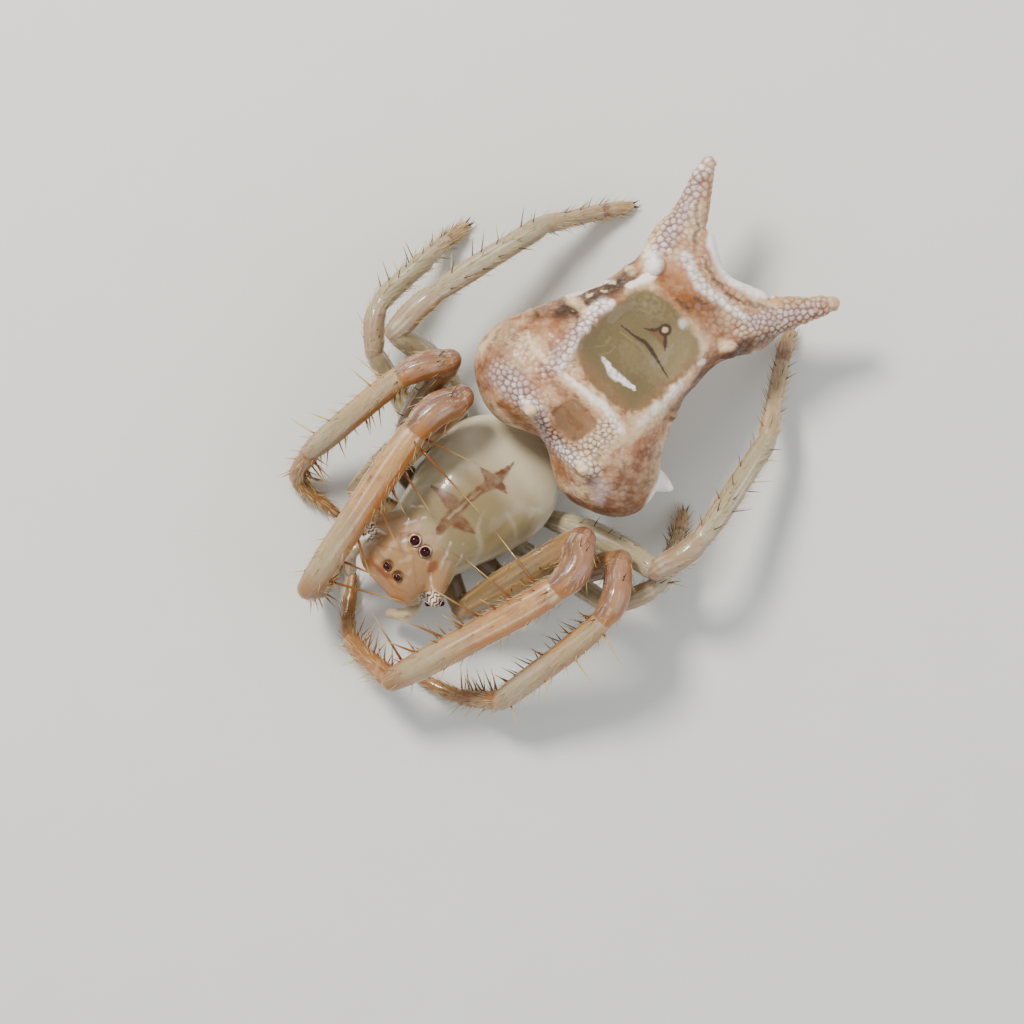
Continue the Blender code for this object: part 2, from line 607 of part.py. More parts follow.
def make_horns(whole, pose):
    """The two long horns of the forked tail, cut from the whole abdomen and set with granules."""
    draw = random.Random(7)
    for side, word in ((1, "left"), (-1, "right")):
        curve = horn_curve(side)
        start, way = fork_plane(side, SEAM)
        horn = whole.copy()
        trim(horn, start, way)
        pieces = [horn]
        for row in range(HORN_GRANULES["rows"]):
            step = HORN_CUT + 0.35 + (3.55 - HORN_CUT) * row / (HORN_GRANULES["rows"] - 1)
            centre, ahead = on_curve(curve, step), on_curve(curve, step + 0.05)
            way = (ahead - centre).normalized()
            radius = stations(HORN_GIRTH, step)
            for k in range(HORN_GRANULES["around"]):
                turn = 2 * math.pi * (k + 0.5 * (row % 2) + 0.2 * draw.random()) / HORN_GRANULES["around"]
                out = way.orthogonal().normalized()
                out.rotate(Matrix.Rotation(turn, 3, way))
                tip = centre + out * (radius + HORN_GRANULES["length"]) + way * 0.05
                pieces.append(spine(centre + out * radius * 0.6, tip, HORN_GRANULES["radius"], sides=4))
        finish(combine(pieces), f"tail_horn_{word}", "cream_granules", start, pose)


def make_spinnerets():
    """The short group of silk nozzles under the tail."""
    x, y = SPINNERETS["middle"]
    bottom = stations(ABDOMEN_BOTTOM, y)
    pieces = [ball((x, y, bottom - SEAM - 0.17), 0.16, detail=1)]
    for side in (1, -1):
        for ahead in (1, -1):
            root = Vector((x + side * 0.06, y + ahead * 0.05, bottom - SEAM - 0.14))
            tip = root + Vector((side * SPINNERETS["spread"], ahead * 0.10, -SPINNERETS["length"]))
            pieces.append(spine(root, tip, SPINNERETS["radius"], sides=6))
    nozzles = combine(pieces)
    trim(nozzles, (0, 0, bottom - SEAM), (0, 0, -1))
    finish(nozzles, "spinnerets", "cream_granules", (x, y, bottom - SEAM), abdomen_pose())


# Legs

def joint_plane(joint, before, after):
    """The plane that parts two limbs at a joint; it faces the limb before."""
    joint, before, after = Vector(joint), Vector(before), Vector(after)
    return joint, ((before - joint).normalized() - (after - joint).normalized()).normalized()


def bowed(start, end, bow):
    start, end = Vector(start), Vector(end)
    return [start, start.lerp(end, 0.5) + Vector(bow), end]


def limb_spine(points, girth, step, row):
    """One spine of a row, on a limb that runs along a curve."""
    centre, ahead = on_curve(points, step), on_curve(points, step + 0.05)
    way = (ahead - centre).normalized()
    up = (Vector((0, 0, 1)) - way * way.z).normalized()
    inner = way.cross(up)
    if inner.dot(Vector((*EMBRACE, centre.z)) - centre) < 0:
        inner.negate()
    turn = math.radians(row["turn"])
    out = up * math.cos(turn) + inner * math.sin(turn)
    radius = stations(girth, step)
    lean = (out + way * row["lean"]).normalized()
    skin = centre + out * radius
    return spine(skin - lean * radius * 0.7, skin + lean * row["length"], row["radius"], sides=4)


def limb_spines(name, limb, points, girth):
    """All spines of one limb."""
    points = [Vector(point) for point in points]
    made = []
    for row in SPINE_ROWS:
        if row["limb"] == limb and name.startswith(row["legs"]):
            for i in range(row["count"]):
                share = i / max(1, row["count"] - 1)
                made.append(limb_spine(points, girth, row["from"] + (row["to"] - row["from"]) * share, row))
    if limb == "shank":
        for along, way in CATCHING_SPINES.get(name, ()):
            centre, way = on_curve(points, 1 + along), Vector(way)
            skin = centre + way.normalized() * stations(girth, 1 + along)
            made.append(spine(centre + way.normalized() * 0.1, skin + way, CATCHING_RADIUS))
    return made


def make_leg(name, pose):
    pair = int(name[4])
    size = GIRTH[pair]
    side = 1 if name.endswith("left") else -1
    gap = SEAM / 2

    shank_girth = ((0, size["patella"] * 0.90), (0.5, size["patella"]), (0.92, size["patella"] * 0.90),
                   (1.06, size["tibia"] * 0.88), (1.3, size["tibia"]), (1.75, size["tibia"] * 0.96),
                   (2, size["metatarsus"] * 1.12))
    shank_joints = [pose["knee"], pose["patella"], pose["tibia"]]
    room = [(step, radius + SEAM) for step, radius in shank_girth]

    hip = tube([pose["coxa"], pose["trochanter"]], ((0, size["coxa"]), (1, size["coxa"] * 0.8)), rings=2,
               blunt=(True, True))
    thigh_girth = ((0, size["femur"] * 0.72), (0.7, size["femur"]), (1.4, size["femur"] * 0.95),
                   (2, size["patella"] * 0.96))
    thigh_joints = bowed(pose["trochanter"], pose["knee"], pose["bow"])
    thigh = tube(thigh_joints, thigh_girth, rings=4)
    femur = combine([combine([hip, thigh]), tube(shank_joints, room, rings=5)], "DIFFERENCE")
    trim(femur, ((STERNUM["half_width"] + SEAM) * side, 0, 0), (side, 0, 0))
    femur = combine([femur] + limb_spines(name, "thigh", thigh_joints, thigh_girth))
    finish(femur, f"{name}_femur", "pale_leg", pose["trochanter"])

    shank = tube(shank_joints, shank_girth, rings=5)
    ankle, facing = joint_plane(pose["tibia"], pose["patella"], pose["metatarsus"])
    trim(shank, ankle + facing * gap, facing)
    shank = combine([shank] + limb_spines(name, "shank", shank_joints, shank_girth))
    finish(shank, f"{name}_tibia", "amber_leg" if pair < 3 else "pale_leg", pose["knee"])

    foot_girth = ((0, size["metatarsus"] * 1.05), (0.5, size["metatarsus"] * 0.92),
                  (1, size["metatarsus"] * 0.84), (1.5, size["tarsus"]), (2, size["tarsus"] * 0.72))
    foot_joints = [pose["tibia"], pose["metatarsus"], pose["claws"]]
    foot = tube(foot_joints, foot_girth, sides=8, rings=4)
    trim(foot, ankle - facing * gap, -facing)
    trim(foot, (0, 0, 0), (0, 0, 1))
    foot = combine([foot] + limb_spines(name, "foot", foot_joints, foot_girth))
    finish(foot, f"{name}_foot", "amber_leg" if pair < 3 else "pale_leg", pose["tibia"])


for old in list(bpy.data.objects):
    bpy.data.objects.remove(old, do_unlink=True)
spider = bpy.data.objects.new("spider", None)
bpy.context.scene.collection.objects.link(spider)

make_carapace()
make_eyes()
make_sternum()
make_mouth_parts()
make_abdomen()
make_spinnerets()
for leg_name, leg_pose in LEGS.items():
    make_leg(leg_name, leg_pose)
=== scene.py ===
# Fork-tailed arkys: skin, markings, spines, hairs, eyes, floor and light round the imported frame.
# Shapes are made in millimetres from the spider's waist, and become metres when a piece is finished.
import itertools
import math
import random

import bmesh
import bpy
import numpy as np
from mathutils import Matrix, Vector, noise
from mathutils.kdtree import KDTree


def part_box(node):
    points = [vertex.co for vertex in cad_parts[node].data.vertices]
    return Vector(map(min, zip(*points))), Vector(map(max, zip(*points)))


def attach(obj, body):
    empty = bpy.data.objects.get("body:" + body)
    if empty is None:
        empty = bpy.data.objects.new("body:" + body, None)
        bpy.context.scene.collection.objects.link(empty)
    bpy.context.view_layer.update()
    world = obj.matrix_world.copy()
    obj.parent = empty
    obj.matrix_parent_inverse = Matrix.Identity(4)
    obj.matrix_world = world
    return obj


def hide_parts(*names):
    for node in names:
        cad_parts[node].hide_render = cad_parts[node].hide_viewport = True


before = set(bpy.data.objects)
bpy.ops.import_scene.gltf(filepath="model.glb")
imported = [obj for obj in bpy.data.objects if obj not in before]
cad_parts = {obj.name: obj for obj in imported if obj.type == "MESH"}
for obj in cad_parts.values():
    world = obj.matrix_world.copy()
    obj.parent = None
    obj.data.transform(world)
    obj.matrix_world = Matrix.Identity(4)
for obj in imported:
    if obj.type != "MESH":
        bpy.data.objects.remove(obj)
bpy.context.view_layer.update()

stance = {"middle": (-0.154, 0.798), "millimetre": 0.001}
photo = {"right": (0.67, 0.74), "middle": (0.616, -0.580)}   # how the picture lies over the animal


def tone(red, green, blue):
    # 0 to 255 as in the photo; the power also gives back contrast that the view takes
    return tuple(((c / 255 + 0.055) / 1.055) ** 2.9 for c in (red, green, blue))


# Materials: a socket that can be added, multiplied and mixed

class Wire:
    def __init__(self, tree, socket=None):
        self.tree = tree
        self.socket = socket

    def node(self, kind, settings=None, values=None, out=0):
        made = self.tree.nodes.new(kind)
        for name, value in (settings or {}).items():
            setattr(made, name, value)
        for name, value in (values or {}).items():
            socket = made.inputs[name]
            if isinstance(value, Wire):
                self.tree.links.new(value.socket, socket)
            elif socket.type == "RGBA":
                socket.default_value = (*value, 1)
            else:
                socket.default_value = value
        return Wire(self.tree, made.outputs[out])

    def maths(self, operation, first, second):
        return self.node("ShaderNodeMath", {"operation": operation}, {0: first, 1: second})

    def __add__(self, other):
        return self.maths("ADD", self, other)

    def __radd__(self, other):
        return self.maths("ADD", other, self)

    def __sub__(self, other):
        return self.maths("SUBTRACT", self, other)

    def __rsub__(self, other):
        return self.maths("SUBTRACT", other, self)

    def __mul__(self, other):
        return self.maths("MULTIPLY", self, other)

    def __rmul__(self, other):
        return self.maths("MULTIPLY", other, self)

    def mix(self, share, first, second, way="MIX"):
        return self.node("ShaderNodeMix", {"data_type": "RGBA", "blend_type": way},
                         {0: share, 6: first, 7: second}, out=2)

    def feed(self, shader, name):
        self.tree.links.new(self.socket, shader.inputs[name])


def newMaterial(name, constants):
    material = bpy.data.materials.new(name)
    material.use_nodes = True
    shader = material.node_tree.nodes["Principled BSDF"]
    for socket, value in constants.items():
        shader.inputs[socket].default_value = value
    return material, shader, Wire(material.node_tree)


def mottledMaterial(name, constants, scale, detail, first, second, depth=None):
    # two tones mixed by fine noise
    material, shader, wire = newMaterial(name, constants)
    place = wire.node("ShaderNodeTexCoord", out=3)
    grain = wire.node("ShaderNodeTexNoise", values={"Vector": place, "Scale": scale, "Detail": detail})
    wire.mix(grain * depth if depth else grain, first, second).feed(shader, "Base Color")
    return material


def shellMaterial(name, look):
    # the markings come from the piece's own tint; grain, gloss and relief from noise
    material, shader, wire = newMaterial(name, {
        "Subsurface Weight": look["glow"], "Subsurface Radius": look["glowRadius"],
        "Subsurface Scale": look["glowDepth"], "Coat Roughness": 0.05,
        "IOR": 1.5, "Specular IOR Level": look["shine"],
    })
    place = wire.node("ShaderNodeTexCoord", out=3)
    tint = wire.node("ShaderNodeAttribute", {"attribute_name": "tint"})
    grain = wire.node("ShaderNodeTexNoise", values={"Vector": place, "Scale": look["grain"], "Detail": 4.0})
    fleck = wire.node("ShaderNodeTexVoronoi", values={"Vector": place, "Scale": look["fleck"]})
    darker = wire.mix(grain * look["grainDepth"], tint, look["shade"], "MULTIPLY")
    lighter = wire.mix((1 - fleck) * look["fleckDepth"], darker, look["light"], "DODGE")
    lighter.feed(shader, "Base Color")
    (look["roughness"] + grain * 0.25).feed(shader, "Roughness")
    gloss = wire.node("ShaderNodeAttribute", {"attribute_name": "tint"}, out=3)
    (gloss * look["coat"]).feed(shader, "Coat Weight")
    relief = wire.node("ShaderNodeBump", values={
        "Strength": look["relief"], "Distance": look["reliefHeight"], "Height": grain + fleck * 0.6})
    relief.feed(shader, "Normal")
    return material


# Small tools for shapes

def deselect():
    bpy.ops.object.select_all(action="DESELECT")


def pick(*pieces):
    deselect()
    for piece in pieces:
        piece.select_set(True)
    bpy.context.view_layer.objects.active = pieces[0]


def linked(name, mesh):
    piece = bpy.data.objects.new(name, mesh)
    bpy.context.scene.collection.objects.link(piece)
    return piece


def applied(piece):
    pick(piece)
    for modifier in list(piece.modifiers):
        bpy.ops.object.modifier_apply(modifier=modifier.name)


def joined(pieces, name):
    pick(*pieces)
    if len(pieces) > 1:
        bpy.ops.object.join()
    whole = bpy.context.view_layer.objects.active
    whole.name = name
    whole.data.name = name
    return whole


def oneSkin(pieces, name, voxel, rounds):
    # overlapping closed shapes become one closed skin, and its steps are smoothed away
    whole = joined(pieces, name)
    remesh = whole.modifiers.new("skin", "REMESH")
    remesh.mode = "VOXEL"
    remesh.voxel_size = voxel
    smooth = whole.modifiers.new("smooth", "SMOOTH")
    smooth.factor = 0.5
    smooth.iterations = rounds
    applied(whole)
    return whole


def cadCopy(node, rounded=0):
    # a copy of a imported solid, in millimetres from the waist, its facets rounded off
    bm = bmesh.new()
    bm.from_mesh(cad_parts[node].data)
    bmesh.ops.transform(bm, matrix=Matrix.Translation((*stance["middle"], 0)) @ Matrix.Scale(1000, 4),
                        verts=bm.verts)
    bmesh.ops.remove_doubles(bm, verts=bm.verts, dist=0.0005)
    mesh = bpy.data.meshes.new(node + "_copy")
    bm.to_mesh(mesh)
    bm.free()
    piece = linked(node + "_copy", mesh)
    if rounded:
        subdivision = piece.modifiers.new("rounded", "SUBSURF")
        subdivision.levels = rounded
        subdivision.render_levels = rounded
        applied(piece)
    return piece


def corners(mesh):
    co = np.zeros(len(mesh.vertices) * 3)
    mesh.vertices.foreach_get("co", co)
    return co.reshape(-1, 3)


def setCorners(mesh, co):
    mesh.vertices.foreach_set("co", np.ascontiguousarray(co, dtype=np.float32).ravel())
    mesh.update()


def outwards(mesh):
    normals = np.zeros(len(mesh.vertices) * 3)
    mesh.vertices.foreach_get("normal", normals)
    return normals.reshape(-1, 3)


def setTint(mesh, colours, gloss=1.0):
    # the markings, and beside them how much clear coat shows
    layer = mesh.attributes.new("tint", "FLOAT_COLOR", "POINT")
    rows = np.ones((len(mesh.vertices), 4), dtype=np.float32)
    rows[:, :3] = np.clip(colours, 0, 1)
    rows[:, 3] = gloss
    layer.data.foreach_set("color", rows.ravel())


def finished(piece, material, nodes=()):
    mesh = piece.data
    middle = Vector((*stance["middle"], 0))
    mesh.transform(Matrix.Scale(stance["millimetre"], 4) @ Matrix.Translation(-middle))
    mesh.materials.clear()
    mesh.materials.append(material)
    mesh.shade_smooth()
    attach(piece, "root")
    if nodes:
        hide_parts(*nodes)
    deselect()
    return piece


# Curves, as in the solids

def stations(table, at):
    if at <= table[0][0]:
        return table[0][1]
    for (a, low), (b, high) in zip(table, table[1:]):
        if at <= b:
            share = (at - a) / (b - a)
            return low + (high - low) * (3 * share ** 2 - 2 * share ** 3)
    return table[-1][1]


def onCurve(points, step):
    last = len(points) - 1
    start = min(int(max(step, 0)), last - 1)
    share = step - start
    b, c = points[start], points[start + 1]
    a = points[start - 1] if start > 0 else 2 * b - c
    d = points[start + 2] if start + 2 <= last else 2 * c - b
    bend = 2 * b + (c - a) * share + (2 * a - 5 * b + 4 * c - d) * share ** 2
    return 0.5 * (bend + (3 * b - a - 3 * c + d) * share ** 3)


def limbTube(name, points, girth, perStep=26, bluntness=1.0):
    # a round limb with domed ends, drawn as a curve and made a mesh
    last = len(points) - 1
    count = perStep * last
    way = (onCurve(points, 0.02) - points[0]).normalized()
    endWay = (points[-1] - onCurve(points, last - 0.02)).normalized()
    places = []
    for lean in (0.97, 0.85, 0.6, 0.3):
        radius = stations(girth, 0)
        places.append((points[0] - way * radius * lean * bluntness, radius * math.sqrt(1 - lean ** 2)))
    for i in range(count + 1):
        places.append((onCurve(points, last * i / count), stations(girth, last * i / count)))
    for lean in (0.3, 0.6, 0.85, 0.97):
        radius = stations(girth, last)
        places.append((points[-1] + endWay * radius * lean, radius * math.sqrt(1 - lean ** 2)))
    curve = bpy.data.curves.new(name, "CURVE")
    curve.dimensions = "3D"
    curve.bevel_depth = 1.0
    curve.bevel_resolution = 5
    curve.use_fill_caps = True
    spline = curve.splines.new("POLY")
    spline.points.add(len(places) - 1)
    for point, (centre, radius) in zip(spline.points, places):
        point.co = (*centre, 1)
        point.radius = radius
    piece = linked(name, curve)
    pick(piece)
    bpy.ops.object.convert(target="MESH")
    return bpy.context.view_layer.objects.active


# Painting by place: soft shapes on the surface, in millimetres

def eased(low, high, value):
    share = np.clip((value - low) / (high - low), 0, 1)
    return share * share * (3 - 2 * share)


def oval(x, y, middle, size, turn=0.0, soft=0.25):
    c, s = math.cos(math.radians(turn)), math.sin(math.radians(turn))
    across, along = x - middle[0], y - middle[1]
    reach = np.sqrt(((across * c + along * s) / size[0]) ** 2 + ((along * c - across * s) / size[1]) ** 2)
    return 1 - eased(1 - soft, 1 + soft, reach)


def band(value, middle, half, soft):
    return oval(value, value * 0, (middle, 0), (half, 1), soft=soft)


def boxed(x, y, middle, size, soft=0.12):
    reach = ((np.abs(x - middle[0]) / size[0]) ** 4 + (np.abs(y - middle[1]) / size[1]) ** 4) ** 0.25
    return 1 - eased(1 - soft, 1 + soft, reach)


def stroke(x, y, path, soft=0.5):
    # a brush stroke along a path of x, y and width
    mark = np.zeros(x.shape)
    for (ax, ay, wide), (bx, by, nextWide) in zip(path, path[1:]):
        length = max((bx - ax) ** 2 + (by - ay) ** 2, 1e-9)
        share = np.clip(((x - ax) * (bx - ax) + (y - ay) * (by - ay)) / length, 0, 1)
        half = (wide + (nextWide - wide) * share) / 2
        gap = np.hypot(x - ax - share * (bx - ax), y - ay - share * (by - ay))
        mark = np.maximum(mark, 1 - eased(0, 1, (gap / half - 1 + soft) / (2 * soft)))
    return mark


def blend(under, over, share):
    return under + (np.array(over) - under) * share[:, None]


class Paint:
    # colours laid over one another, each by its share at every point
    def __init__(self, look, ground, count):
        self.look = look
        self.tint = np.tile(np.array(look[ground]), (count, 1))

    def lay(self, colour, share):
        self.tint = blend(self.tint, self.look[colour], share)

    def lines(self, colour, paths, x, y, soft, share):
        for path in paths:
            self.lay(colour, share(stroke(x, y, path, soft)))


def finer(mesh, wanted):
    # more faces where fine marks are painted
    bm = bmesh.new()
    bm.from_mesh(mesh)
    edges = [e for e in bm.edges if all(wanted(v) for v in e.verts)]
    bmesh.ops.subdivide_edges(bm, edges=edges, cuts=1, use_grid_fill=True)
    bm.to_mesh(mesh)
    bm.free()


def cleaned(mesh):
    # loose shells that the voxels leave inside go, and faces of many corners are split evenly
    bm = bmesh.new()
    bm.from_mesh(mesh)
    outer = {max(bm.verts, key=lambda v: v.co.z)}
    front = list(outer)
    while front:
        for edge in front.pop().link_edges:
            for vert in edge.verts:
                if vert not in outer:
                    outer.add(vert)
                    front.append(vert)
    bmesh.ops.delete(bm, geom=[v for v in bm.verts if v not in outer], context="VERTS")
    bmesh.ops.triangulate(bm, faces=[f for f in bm.faces if len(f.verts) > 4], ngon_method="BEAUTY")
    bm.to_mesh(mesh)
    bm.free()


def cloud(co, scale, seed):
    shift = Vector((seed * 7.3, seed * 3.1, seed * 5.7))
    return np.array([noise.noise(Vector(p) * scale + shift) for p in co])


# Chest and head

shield = {
    "voxel": 0.024, "smoothing": 8,
    "shell": tone(150, 134, 96), "deep": tone(140, 120, 82), "milkyAndPaintedLight": tone(194, 182, 150),
    "head": tone(176, 138, 96), "rust": tone(116, 70, 30), "amber": tone(140, 80, 24),
    # the pale edge tone is painted light, laid where shade falls on the chest
    "rim": tone(186, 128, 66), "under": tone(160, 144, 104), "vein": tone(210, 202, 178),
    "edge": tone(222, 214, 190), "paintedGlint": tone(228, 212, 196), "groove": tone(128, 96, 66),
    "reflectionDark": tone(40, 24, 14), "reflectionLight": tone(248, 240, 226),
}
shieldMarks = (   # the brown star, its double stem and the two marks beside it: x, y and width
    ((0.02, 0.0, 0.02), (0.03, -0.2, 0.12), (0.03, -0.45, 0.24)),
    ((0.03, -0.44, 0.26), (0.18, -0.43, 0.13), (0.34, -0.43, 0.02)),
    ((0.03, -0.46, 0.24), (-0.14, -0.47, 0.15), (-0.29, -0.48, 0.03)),
    ((0.03, -0.46, 0.22), (-0.02, -0.76, 0.14), (-0.03, -1.02, 0.15)),
    ((-0.03, -1.02, 0.15), (-0.03, -1.42, 0.19), (0.03, -1.7, 0.15)),
    ((-0.62, -1.29, 0.03), (-0.4, -1.25, 0.15), (-0.21, -1.23, 0.26)),
    ((0.14, -1.36, 0.26), (0.28, -1.33, 0.17), (0.47, -1.29, 0.03)),
)
stemGap = ((-0.01, -0.72, 0.02), (-0.03, -1.02, 0.045), (-0.03, -1.46, 0.04))
amberPlaces = (   # middle, size and turn of the brown-amber spots of the head
    ((0.41, -2.20), (0.07, 0.13), 20.0), ((-0.32, -2.18), (0.05, 0.11), -15.0),
    ((-0.08, -2.88), (0.17, 0.06), 10.0),
)
glintLines = (   # painted highlights: white glints of the glassy head, and pale glint lines of the chest
    ((0.3, -1.7, 0.03), (0.4, -1.9, 0.06), (0.53, -2.18, 0.02)),
    ((-0.46, -2.1, 0.03), (-0.4, -1.9, 0.07), (-0.27, -1.68, 0.02)),
    ((-0.28, -2.34, 0.02), (-0.22, -2.22, 0.05), (-0.2, -2.12, 0.02)),
    ((0.46, -2.3, 0.02), (0.6, -2.42, 0.05), (0.7, -2.46, 0.02)),
    ((-0.5, -2.4, 0.02), (-0.62, -2.46, 0.05), (-0.72, -2.48, 0.02)),
    ((-0.7, -1.96, 0.02), (-0.6, -1.78, 0.04), (-0.42, -1.6, 0.02)),
    ((0.66, -1.9, 0.02), (0.62, -1.74, 0.03), (0.46, -1.56, 0.02)),
    ((-0.98, 0.18, 0.02), (-0.7, 0.4, 0.05), (-0.46, 0.52, 0.02)),
)
grooveLines = (   # thin brown creases of the head
    ((-0.04, -2.26, 0.02), (0.2, -2.44, 0.03), (0.5, -2.66, 0.02)),
    ((0.0, -2.32, 0.02), (-0.26, -2.48, 0.03), (-0.5, -2.64, 0.02)),
    ((0.46, -2.8, 0.02), (0.2, -2.92, 0.03), (-0.3, -2.92, 0.03), (-0.6, -2.8, 0.02)),
    ((0.2, -1.9, 0.02), (0.5, -1.78, 0.03), (0.86, -1.7, 0.01)),
)


def paintShield(co, normals):
    x, y, z = co.T
    wander = cloud(co, 1.5, 1)
    fine = cloud(co, 9.0, 2)
    grainy = cloud(co, 22.0, 5)
    paint = Paint(shield, "shell", len(co))
    paint.lay("milkyAndPaintedLight", 0.35 * eased(-0.1, 0.6, wander))
    # painted light: a pale oval lightens the chest's right side, where it lies in shade
    paint.lay("milkyAndPaintedLight", 0.5 * oval(x, y, (-0.8, -0.6), (0.4, 0.6), soft=0.9))
    paint.lay("deep", 0.2 * eased(-0.1, -0.6, wander + 0.3 * fine))
    # painted light: the rear of the chest, its right side and its steep slopes are painted lighter against
    # the shade that falls there
    paint.lay("edge", 0.75 * eased(-0.75, 0.05, y - 0.15 * x))
    paint.lay("edge", 0.45 * eased(-0.35, -0.9, x) * (y > -2.0))
    paint.lay("edge", 0.75 * eased(0.85, 0.35, normals[:, 2]) * (y > -2.2))
    headShare = 1 - eased(-2.15, -1.55, y + 0.3 * np.abs(x))
    paint.lay("head", 0.9 * headShare)
    # painted highlight: pale glints in patches over the head
    paint.lay("paintedGlint", 0.20 * headShare * eased(0.0, 0.5, fine + wander))
    top = normals[:, 2] > 0.15
    x, y = x + 0.014 * fine + 0.012 * grainy, y - 0.014 * fine + 0.012 * grainy
    paint.lay("rim", 0.85 * top * oval(x, y, (0.0, -3.06), (0.85, 0.20), soft=0.5))
    rays = np.abs(np.sin(5.5 * np.arctan2(x, y + 0.40) + 1.2 * wander)) ** 40
    away = np.hypot(x, y + 0.40)
    paint.lay("vein", 0.30 * rays * eased(0.45, 0.9, away) * top * (1 - headShare))
    rust = np.zeros(len(co))
    for path in shieldMarks:
        rust = np.maximum(rust, stroke(x, y, path, 0.22))
    rust *= 1 - 0.75 * stroke(x, y, stemGap, 0.4)
    paint.lay("rust", (0.78 + 0.45 * fine + 0.25 * grainy).clip(0.35, 0.95) * rust * top)
    for middle, size, turn in amberPlaces:
        mark = oval(x + 0.03 * fine, y, middle, size, turn, soft=0.4)
        paint.lay("amber", 0.85 * mark * top)
    # painted highlights along the glint lines, broken by noise
    glints = (0.4 + 2.5 * fine).clip(0, 1)
    paint.lines("paintedGlint", glintLines, x, y, 0.9, lambda mark: 0.65 * mark * glints)
    paint.lines("groove", grooveLines, x, y, 0.8, lambda mark: 0.35 * mark * top)
    for side in (1, -1):   # painted reflection: black and white streaks that the glossy blunt end of each eye cone mirrors
        cone = oval(x, y, (0.86 * side, -2.64), (0.23, 0.22), soft=0.25)
        ripple = np.sin((x + 0.25 * (y + 2.6) * side + 0.03 * fine + 0.02 * np.sin(y * 60)) * 84.0)
        paint.lay("reflectionLight", 0.75 * cone * eased(0.0, 0.5, ripple))
        paint.lay("reflectionDark", 0.80 * cone * eased(-0.1, -0.6, ripple))
    paint.lay("under", eased(-0.2, -0.6, normals[:, 2]))
    return paint.tint


def makeShield():
    bpy.ops.mesh.primitive_uv_sphere_add(segments=32, ring_count=20, radius=1.0, location=(0, -1.25, 0.78))
    chest = bpy.context.view_layer.objects.active
    bpy.ops.object.mode_set(mode="EDIT")
    bpy.ops.transform.resize(value=(0.70, 1.22, 0.30))
    bpy.ops.object.mode_set(mode="OBJECT")
    pick(chest)
    bpy.ops.object.transform_apply(location=True, rotation=True, scale=True)
    parts = [cadCopy("carapace", 2), cadCopy("sternum", 2), chest]
    whole = oneSkin(parts, "carapace_skin", shield["voxel"], shield["smoothing"])
    finer(whole.data, lambda v: v.normal.z > -0.1 and v.co.y < -1.6)
    co = corners(whole.data)
    setTint(whole.data, paintShield(co, outwards(whole.data)))
    cleaned(whole.data)
    return whole


# Legs

legPoses = {
    "leg_1_left": ((0.52, -2.05, 0.56), (1.3, -2.34, 0.74), (1.76, -0.02, 2.22), (2.06, -0.9, 2.48),
                   (1.37, -4.02, 1.22), (0.34, -4.08, 0.4), (-0.4, -3.36, 0.06), (0.0, 0.0, 0.13)),
    "leg_1_right": ((-0.52, -2.05, 0.56), (-1.42, -2.28, 0.74), (-1.38, 0.06, 2.27), (-1.48, -0.88, 2.52),
                    (-0.74, -4.02, 1.42), (-0.62, -3.84, 0.36), (-0.8, -3.16, 0.06), (0.0, 0.0, 0.13)),
    "leg_2_left": ((0.52, -1.48, 0.54), (1.24, -1.52, 0.6), (2.46, 0.22, 1.86), (2.98, -0.66, 2.1),
                   (2.88, -2.88, 0.95), (2.34, -3.38, 0.3), (1.68, -3.68, 0.06), (0.14, 0.0, 0.02)),
    "leg_2_right": ((-0.52, -1.48, 0.54), (-1.26, -1.5, 0.6), (-1.98, 0.36, 1.95), (-2.32, -0.42, 2.12),
                    (-2.46, -2.4, 1.0), (-2.26, -2.94, 0.3), (-1.42, -2.84, 0.06), (-0.16, 0.0, 0.02)),
    "leg_3_left": ((0.52, -0.91, 0.54), (1.16, -0.88, 0.52), (2.92, -0.42, 1.2), (3.18, 0.34, 1.18),
                   (3.0, 1.0, 0.62), (2.82, 1.3, 0.26), (2.62, 1.6, 0.06), (0.0, 0.0, -0.22)),
    "leg_3_right": ((-0.52, -0.91, 0.54), (-1.16, -0.88, 0.52), (-2.98, -0.5, 1.2), (-3.5, 0.1, 1.22),
                    (-3.58, 1.26, 0.72), (-3.6, 1.72, 0.26), (-3.58, 2.14, 0.06), (0.0, 0.0, -0.22)),
    "leg_4_left": ((0.52, -0.34, 0.54), (1.1, -0.2, 0.54), (2.98, 0.56, 1.62), (3.1, 1.46, 1.8),
                   (2.64, 3.46, 0.95), (1.8, 4.62, 0.3), (1.54, 5.06, 0.06), (0.0, 0.1, -0.14)),
    "leg_4_right": ((-0.52, -0.34, 0.54), (-1.1, -0.2, 0.54), (-2.98, 0.0, 1.68), (-2.98, 0.98, 1.86),
                    (-2.66, 3.1, 1.0), (-2.18, 4.02, 0.3), (-1.92, 4.48, 0.06), (0.0, 0.24, -0.12)),
}
legGirth = {   # hip, thigh, kneecap, shin, foot, toe
    1: (0.22, 0.3, 0.29, 0.27, 0.19, 0.13),
    2: (0.22, 0.24, 0.25, 0.22, 0.165, 0.125),
    3: (0.21, 0.2, 0.19, 0.18, 0.15, 0.12),
    4: (0.22, 0.24, 0.22, 0.2, 0.16, 0.125),
}
legLook = {
    "voxel": 0.022, "smoothing": 2, "embrace": (0.0, -1.5),
    "clear": tone(146, 125, 90), "glass": tone(178, 168, 140), "pale": tone(200, 162, 112),
    "white": tone(246, 240, 230), "amber": tone(160, 104, 40), "orange": tone(188, 124, 46),
    "rust": tone(128, 66, 22), "violet": tone(130, 102, 84), "pinkish": tone(172, 132, 100),
    "tan": tone(168, 124, 74), "beige": tone(192, 160, 122), "line": tone(126, 96, 60),
}


